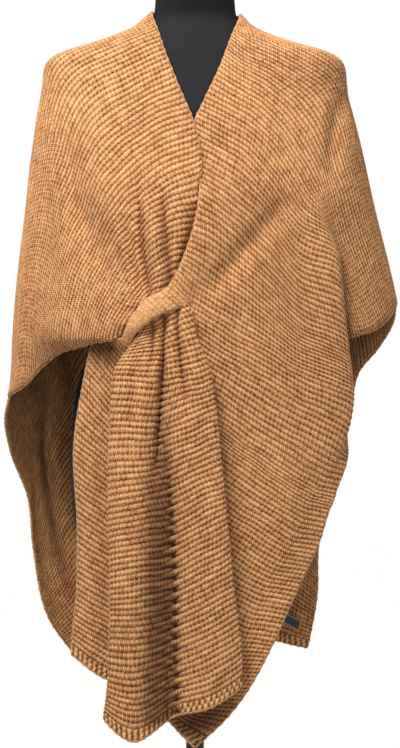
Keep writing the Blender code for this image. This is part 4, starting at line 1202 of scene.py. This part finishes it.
@dataclass
class BackPanel(KnitPanel):
    """The back, from the two shoulder lines and the neck down to the hem."""

    name: str = "back_panel_knit"
    cut_area: float = 0.61
    neck_height: float = 1.423
    neck_points: int = 15
    seam_points: int = 44
    arm_top: float = 1.33
    arm_full: float = 1.15
    even_ridges: int = 14
    flutes: int = 7
    flute_depth: float = 0.013
    crowding: float = 1.8
    seed: int = 9
    flat: tuple[float, float] = (1.20, 0.88)
    grid: Array = field(init=False)

    def top_line(self, left: Callable[[Array], Array], right: Callable[[Array], Array]) -> Array:
        """Points of the top edge, from the left arm over the neck to the right arm."""
        shares = np.linspace(0, 1, self.seam_points)
        left_seam = left(shares)
        right_seam = right(shares)
        places = 0.5 - 0.5 * np.cos(np.linspace(0, np.pi, self.neck_points + 1)[1:-1])
        middle = np.array([0, 0, self.neck_height])
        neck = smooth_curve((0, 0.5, 1), np.array([left_seam[0], middle, right_seam[0]]), places)
        neck[:, 1] = self.body.depth_at(neck[:, 0], neck[:, 2], False)
        return np.concatenate([left_seam[::-1], neck, right_seam])

    def round_places(self, line: Array) -> Array:
        """Front view places turned into angles round the body, beside their heights."""
        left, right, _, _ = self.body.outline_at(line[:, 1])
        half = np.where(line[:, 0] < 0, left, right)
        share = np.clip(line[:, 0] / half, -1, 1)
        angle = np.sign(share) * np.arcsin(abs(share) ** (self.body.power / 2))
        return np.stack([angle, line[:, 1]], axis=1)

    def blend_edges(self, top: Array, hem: Array, left: Array, right: Array, down: Array) -> Array:
        """Fill the space between four edges, row by row."""
        v = down[:, None, None]
        u = even_knots(top)[None, :, None]
        rows = (1 - v) * top[None] + v * hem[None]
        sides = (1 - u) * left[:, None] + u * right[:, None]
        upper = (1 - v) * ((1 - u) * top[0] + u * top[-1])
        lower = v * ((1 - u) * hem[0] + u * hem[-1])
        return rows + sides - upper - lower

    def surface(self, top: Array, down: Array) -> Array:
        """Points below the top edge at shares of the way down."""
        view_line = top[:, [0, 2]]
        shares = even_knots(view_line)
        lines = []
        for table, places in ((BACK_HEM, shares), (BACK_LEFT_EDGE, down), (BACK_RIGHT_EDGE, down)):
            points = np.array(table, float) * CM
            lines.append(smooth_curve(even_knots(points), points, places))
        view = self.blend_edges(view_line, *lines, down)
        turned = [self.round_places(line) for line in (view_line, *lines)]
        round_view = self.blend_edges(*turned, down)
        z = view[:, :, 1]
        left, right, _, aft = (value.reshape(z.shape) for value in self.body.outline_at(z.ravel()))
        half = np.where(view[:, :, 0] < 0, left, right)
        power = self.body.power
        by_width = view[:, :, 0] / half
        by_angle = np.sin(np.clip(round_view[:, :, 0], -np.pi / 2, np.pi / 2))
        by_angle = np.sign(by_angle) * abs(by_angle) ** (2 / power)
        on_arm = np.clip((self.arm_top - top[:, 2]) / (self.arm_top - self.arm_full), 0, 1)[None]
        across = np.clip(by_width + (by_angle - by_width) * on_arm * on_arm * (3 - 2 * on_arm), -1, 1)
        x = across * half
        y = aft * (1 - abs(across) ** power) ** (1 / power)
        x[down <= 0] = top[:, 0]
        y[down <= 0] = top[:, 1]
        flat = np.stack([x, y, z], axis=-1).reshape(-1, 3)
        swing = np.sin(np.pi * shares) * (0.8 + 0.2 * np.sin(7 * shares + 1))
        strength = (down ** 0.9)[:, None] * swing[None]
        flute = np.sin(TAU * self.flutes * (shares + 0.02 * np.sin(9 * shares)))[None]
        flute = self.flute_depth * strength * flute
        return (flat + self.body.normal(flat) * flute.reshape(-1, 1)).reshape(*z.shape, 3)

    def even_top(self, points: Array) -> Array:
        """Space the first ridges below the top edge evenly down every column."""
        reach = self.even_ridges * self.points_a_ridge
        steps = np.linalg.norm(np.diff(points[:reach + 1], axis=0), axis=2)
        length = np.vstack([np.zeros(points.shape[1]), np.cumsum(steps, axis=0)])
        spaced = points.copy()
        for k in range(points.shape[1]):
            even = np.linspace(0, length[-1, k], reach + 1)
            for axis in range(3):
                spaced[:reach + 1, k, axis] = np.interp(even, length[:, k], points[:reach + 1, k, axis])
        return spaced

    def build(self, left: Callable[[Array], Array], right: Callable[[Array], Array]) -> bpy.types.Object:
        """Build the panel in place of its solid.

        Args:
            left: points of the pulled front's shoulder line at shares of its length.
            right: the same for the slotted front.

        Returns:
            The panel's object.
        """
        top = self.top_line(left, right)
        close = np.linspace(0, 1, 161) ** self.crowding
        rows, ridges = self.ridge_places(lambda t: self.surface(top, t), close)
        points = self.unsettle(self.even_top(self.surface(top, rows)))[:, ::-1]
        count, width = points.shape[:2]
        middle, height = self.flat_places(points, ridges, width // 2)
        course = np.repeat(np.arange(count) / self.points_a_ridge, width)
        sheet = Sheet(
            points.reshape(-1, 3), grid_quads(count, width),
            self.corner_map(middle, height, width), course, np.zeros(course.size),
        )
        self.grid = points
        piece = self.shell(sheet)
        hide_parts("back_panel")
        LOG.info("%s: %d ridges, %.3f square metres", self.name, ridges, sheet.area())
        return piece


@dataclass
class EdgeChain:
    """A chained edge of the knitting: a row of beads along a line."""

    finish: bpy.types.Material
    sides: int = 6
    rings_a_bead: int = 4
    sway: float = 0.0004

    def build(self, name: str, line: Array, kind: EdgeKind) -> bpy.types.Object:
        """Lay the chain along a line.

        Args:
            name: the piece's name.
            line: points of the edge.
            kind: how the edge is finished.

        Returns:
            The chain's object.
        """
        pitch, radius = kind.value
        knots = even_knots(line)
        length = np.linalg.norm(np.diff(line, axis=0), axis=1).sum()
        rings = max(8, round(length / pitch)) * self.rings_a_bead
        centre = smooth_curve(knots, line, np.linspace(0, 1, rings + 1))
        ahead = unit(np.gradient(centre, axis=0))
        outward = centre.copy()
        outward[:, 2] = 0
        side = unit(np.cross(ahead, unit(outward)))
        up = np.cross(side, ahead)
        turn = np.arange(rings + 1) / self.rings_a_bead
        thick = radius * (0.74 + 0.26 * abs(np.sin(np.pi * turn)) ** 0.8)
        thick[[0, -1]] *= 0.5
        centre = centre + side * (np.sin(np.pi * turn) * self.sway)[:, None]
        angle = np.arange(self.sides) / self.sides * TAU
        circle = np.cos(angle)[None, :, None] * side[:, None] + np.sin(angle)[None, :, None] * up[:, None]
        points = centre[:, None] + circle * thick[:, None, None]
        faces: list[list[int]] = [list(range(self.sides))[::-1]]
        for ring in range(rings):
            for k in range(self.sides):
                a = ring * self.sides + k
                b = ring * self.sides + (k + 1) % self.sides
                faces.append([a, b, b + self.sides, a + self.sides])
        faces.append([rings * self.sides + k for k in range(self.sides)])
        piece = add_mesh(name, points.reshape(-1, 3), faces, self.finish)
        return piece

    def build_all(self, edges: Mapping[str, tuple[Array, EdgeKind]]) -> list[bpy.types.Object]:
        """Lay a chain along each of a panel's edges, by name."""
        return [self.build(name, line, kind) for name, (line, kind) in edges.items()]


@dataclass
class CareLabel:
    """Blank folded label inside the back panel's lower corner."""

    finish: bpy.types.Material
    cells: tuple[int, int] = (12, 8)
    thickness: float = 0.0009
    rise: float = 0.0018
    curl: float = 0.0007
    share: float = 0.96

    def build(self) -> bpy.types.Object:
        """Build the label in place of its solid, finer and with a lifted lower edge."""
        solid = FRAME["nodes"]["care_label"]
        corners = np.array([v.co for v in solid.data.vertices])
        middle = corners.mean(axis=0)
        _, _, axes = np.linalg.svd(corners - middle)
        reach = [np.ptp((corners - middle) @ axis) for axis in axes]
        across, down, out = (axis * (1 if axis[2] <= 0 else -1) for axis in axes)
        if np.dot(out, [middle[0], middle[1], 0]) > 0:
            out = -out
        columns, rows = self.cells
        u = np.linspace(0, 1, columns + 1)
        v = np.linspace(0, 1, rows + 1)
        grid = (
            middle + (u[None, :, None] - 0.5) * across * reach[0] * self.share
            + (v[:, None, None] - 0.5) * down * reach[1] * self.share
            + (self.rise + self.curl * v[:, None, None] ** 3) * out
        )
        count = (columns + 1) * (rows + 1)
        flat = grid.reshape(-1, 3)
        skins = np.vstack([flat + out * self.thickness / 2, flat - out * self.thickness / 2])
        index = np.arange(count).reshape(rows + 1, columns + 1)
        quads = grid_quads(rows + 1, columns + 1)
        ring = np.concatenate([index[:, 0], index[-1, 1:], index[::-1, -1][1:], index[0, ::-1][1:-1]])
        after = np.roll(ring, -1)
        rims = np.stack([after, ring, ring + count, after + count], axis=1)
        faces = np.concatenate([quads, quads[:, ::-1] + count, rims])
        if np.dot(np.cross(flat[index[1, 0]] - flat[0], flat[index[0, 1]] - flat[0]), out) < 0:
            faces = faces[:, ::-1]
        place = np.stack(np.meshgrid(u, v), axis=-1).reshape(-1, 2)
        maps = {FLAT_MAP: place[faces % count].reshape(-1, 2)}
        piece = add_mesh("blank_care_label", skins, faces, self.finish, maps, crease=50.0)
        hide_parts("care_label")
        LOG.info("blank_care_label: %.1f mm wide", reach[0] * self.share / MM)
        return piece


@dataclass
class DressForm:
    """The limbless form and its stand."""

    jersey: bpy.types.Material
    paint: bpy.types.Material

    def build(self) -> None:
        """Smooth the torso and dress the stand's own solids."""
        solid = FRAME["nodes"]["form_torso"]
        torso = solid.copy()
        torso.data = solid.data.copy()
        torso.name = "jersey_torso"
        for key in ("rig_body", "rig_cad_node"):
            if key in torso:
                del torso[key]
        bpy.context.scene.collection.objects.link(torso)
        torso.parent = None
        joined = bmesh.new()
        joined.from_mesh(torso.data)
        bmesh.ops.remove_doubles(joined, verts=joined.verts, dist=0.00002)
        joined.to_mesh(torso.data)
        joined.free()
        torso.data.shade_smooth()
        torso.data.materials.clear()
        torso.data.materials.append(self.jersey)
        smoother = torso.modifiers.new("smoother", "SUBSURF")
        smoother.levels = 1
        smoother.render_levels = 1
        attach(torso, "root")
        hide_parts("form_torso")
        for name in ("form_cap", "stand_socket", "stand_pole", "stand_foot"):
            node = FRAME["nodes"][name]
            node.data.materials.clear()
            node.data.materials.append(self.paint)
        LOG.info("dress form: torso smoothed, four stand parts painted")


@dataclass(frozen=True)
class SoftBox:
    """One large lamp, high in front of the form."""

    name: str
    place: tuple[float, float, float]
    aim: tuple[float, float, float]
    power: float
    size: float

    def build(self) -> bpy.types.Object:
        """Hang the lamp."""
        data = bpy.data.lights.new(self.name, "AREA")
        data.shape = "SQUARE"
        data.size = self.size
        data.energy = self.power
        lamp = bpy.data.objects.new(self.name, data)
        lamp.location = self.place
        lamp.rotation_mode = "QUATERNION"
        lamp.rotation_quaternion = (Vector(self.aim) - Vector(self.place)).to_track_quat("-Z", "Y")
        bpy.context.scene.collection.objects.link(lamp)
        return lamp


@dataclass(frozen=True)
class SoftSun:
    """One broad studio light, as strong at any distance."""

    name: str
    direction: tuple[float, float, float]
    strength: float
    spread: float

    def build(self) -> bpy.types.Object:
        """Hang the light."""
        data = bpy.data.lights.new(self.name, "SUN")
        data.energy = self.strength
        data.angle = math.radians(self.spread)
        lamp = bpy.data.objects.new(self.name, data)
        lamp.rotation_mode = "QUATERNION"
        lamp.rotation_quaternion = Vector(self.direction).to_track_quat("-Z", "Y")
        bpy.context.scene.collection.objects.link(lamp)
        return lamp


@dataclass
class Studio:
    """Floor, lights and camera."""

    floor_finish: bpy.types.Material
    floor_size: float = 60.0
    distance: float = 9.0
    frame_height: float = 1.0404
    centre: tuple[float, float, float] = (0.0070, -0.07, 0.9207)
    ambient: float = 0.30
    background: float = 1.0
    sensor: float = 36.0
    lamps: Sequence[SoftBox | SoftSun] = (
        SoftBox("key_light", (-0.70, -1.25, 2.80), (0.0, -0.1, 1.15), 62.0, 0.8),
        SoftSun("fill_light", (-0.80, 0.8, -0.30), 0.52, 50.0),
        SoftSun("front_light", (0.12, 1.0, -0.05), 0.28, 40.0),
        SoftSun("back_light", (0.1, -1.0, -0.8), 0.6, 60.0),
    )

    def build(self) -> None:
        """Set up the floor, the light and the camera."""
        half = self.floor_size / 2
        mesh = bpy.data.meshes.new("studio_floor")
        corners = [(-half, -half, 0), (half, -half, 0), (half, half, 0), (-half, half, 0)]
        mesh.from_pydata(corners, [], [(0, 1, 2, 3)])
        mesh.materials.append(self.floor_finish)
        floor = bpy.data.objects.new("studio_floor", mesh)
        bpy.context.scene.collection.objects.link(floor)
        for lamp in self.lamps:
            lamp.build()
        self.light_world()
        self.place_camera()
        LOG.info("studio: %d lights, camera %.1f m away", len(self.lamps), self.distance)

    def light_world(self) -> None:
        """Give the world a white backdrop and a softer even light."""
        world = bpy.data.worlds.new("studio_world")
        world.use_nodes = True
        bpy.context.scene.world = world
        board = Board(world.node_tree)
        seen = board.signal("ShaderNodeLightPath", output="Is Camera Ray")
        strength = seen * (self.background - self.ambient) + self.ambient
        sky = board.signal(
            "ShaderNodeBackground", inputs={"Color": (1.0, 1.0, 1.0, 1.0), "Strength": strength},
        )
        board.add("ShaderNodeOutputWorld", inputs={"Surface": sky})
        bpy.context.scene.view_settings.view_transform = "Standard"

    def place_camera(self) -> None:
        """Put the camera square to the front, as far as a long lens would be."""
        data = bpy.data.cameras.new("front_camera")
        data.sensor_width = self.sensor
        data.lens = self.sensor * self.distance / self.frame_height
        data.clip_end = 200.0
        camera = bpy.data.objects.new("front_camera", data)
        x, y, z = self.centre
        camera.location = (x, y - self.distance, z)
        camera.rotation_euler = (math.radians(90), 0, 0)
        bpy.context.scene.collection.objects.link(camera)
        bpy.context.scene.camera = camera


def main() -> None:
    """Build the poncho, its form and the studio."""
    logging.basicConfig(level=logging.INFO, format="%(name)s: %(message)s")
    Studio(PaleFloor().make()).build()

    body = DrapeBody()
    knit = GarterKnit().make()
    pulled = PulledFront(body, knit)
    pulled_piece = pulled.build()
    slotted = SlottedFront(body, knit)
    slotted_piece = slotted.build()

    def left_line(shares: Array) -> Array:
        """Shoulder line of the pulled front."""
        return pulled.surface(np.zeros(1), shares)[0]

    def right_line(shares: Array) -> Array:
        """Shoulder line of the slotted front."""
        return slotted.surface(np.zeros(1), shares[:1], shares)[0][0]

    back = BackPanel(body, knit)
    back_piece = back.build(left_line, right_line)

    chain = EdgeChain(EdgeYarn().make())
    pulled_edges = chain.build_all({
        "pulled_front_edge": (pulled.grid[:, -1], EdgeKind.CHAIN),
        "pulled_side_edge": (pulled.grid[:, 0], EdgeKind.CHAIN),
        "pulled_hem": (pulled.grid[-1], EdgeKind.CAST_OFF),
    })
    slotted_edges = chain.build_all({
        "slotted_front_edge": (slotted.grid[:, 0], EdgeKind.CHAIN),
        "slotted_side_edge": (slotted.grid[:, -1], EdgeKind.CHAIN),
        "slotted_hem": (slotted.grid[-1], EdgeKind.CAST_OFF),
        "strap_edge": (slotted.slit_edges[0], EdgeKind.CHAIN),
        "slit_edge": (slotted.slit_edges[1], EdgeKind.CHAIN),
    })
    label = CareLabel(WovenTape().make()).build()
    back_edges = chain.build_all({
        "back_right_edge": (back.grid[:, 0], EdgeKind.CHAIN),
        "back_left_edge": (back.grid[:, -1], EdgeKind.CHAIN),
        "back_hem": (back.grid[-1], EdgeKind.CAST_OFF),
        "back_neck_edge": (back.grid[0, back.seam_points - 1:-back.seam_points + 1], EdgeKind.CAST_OFF),
    })
    LOG.info("edges: %d chains", len(pulled_edges) + len(slotted_edges) + len(back_edges))

    DressForm(JerseyCover().make(), SatinPaint().make()).build()


if __name__ == "__main__":
    main()
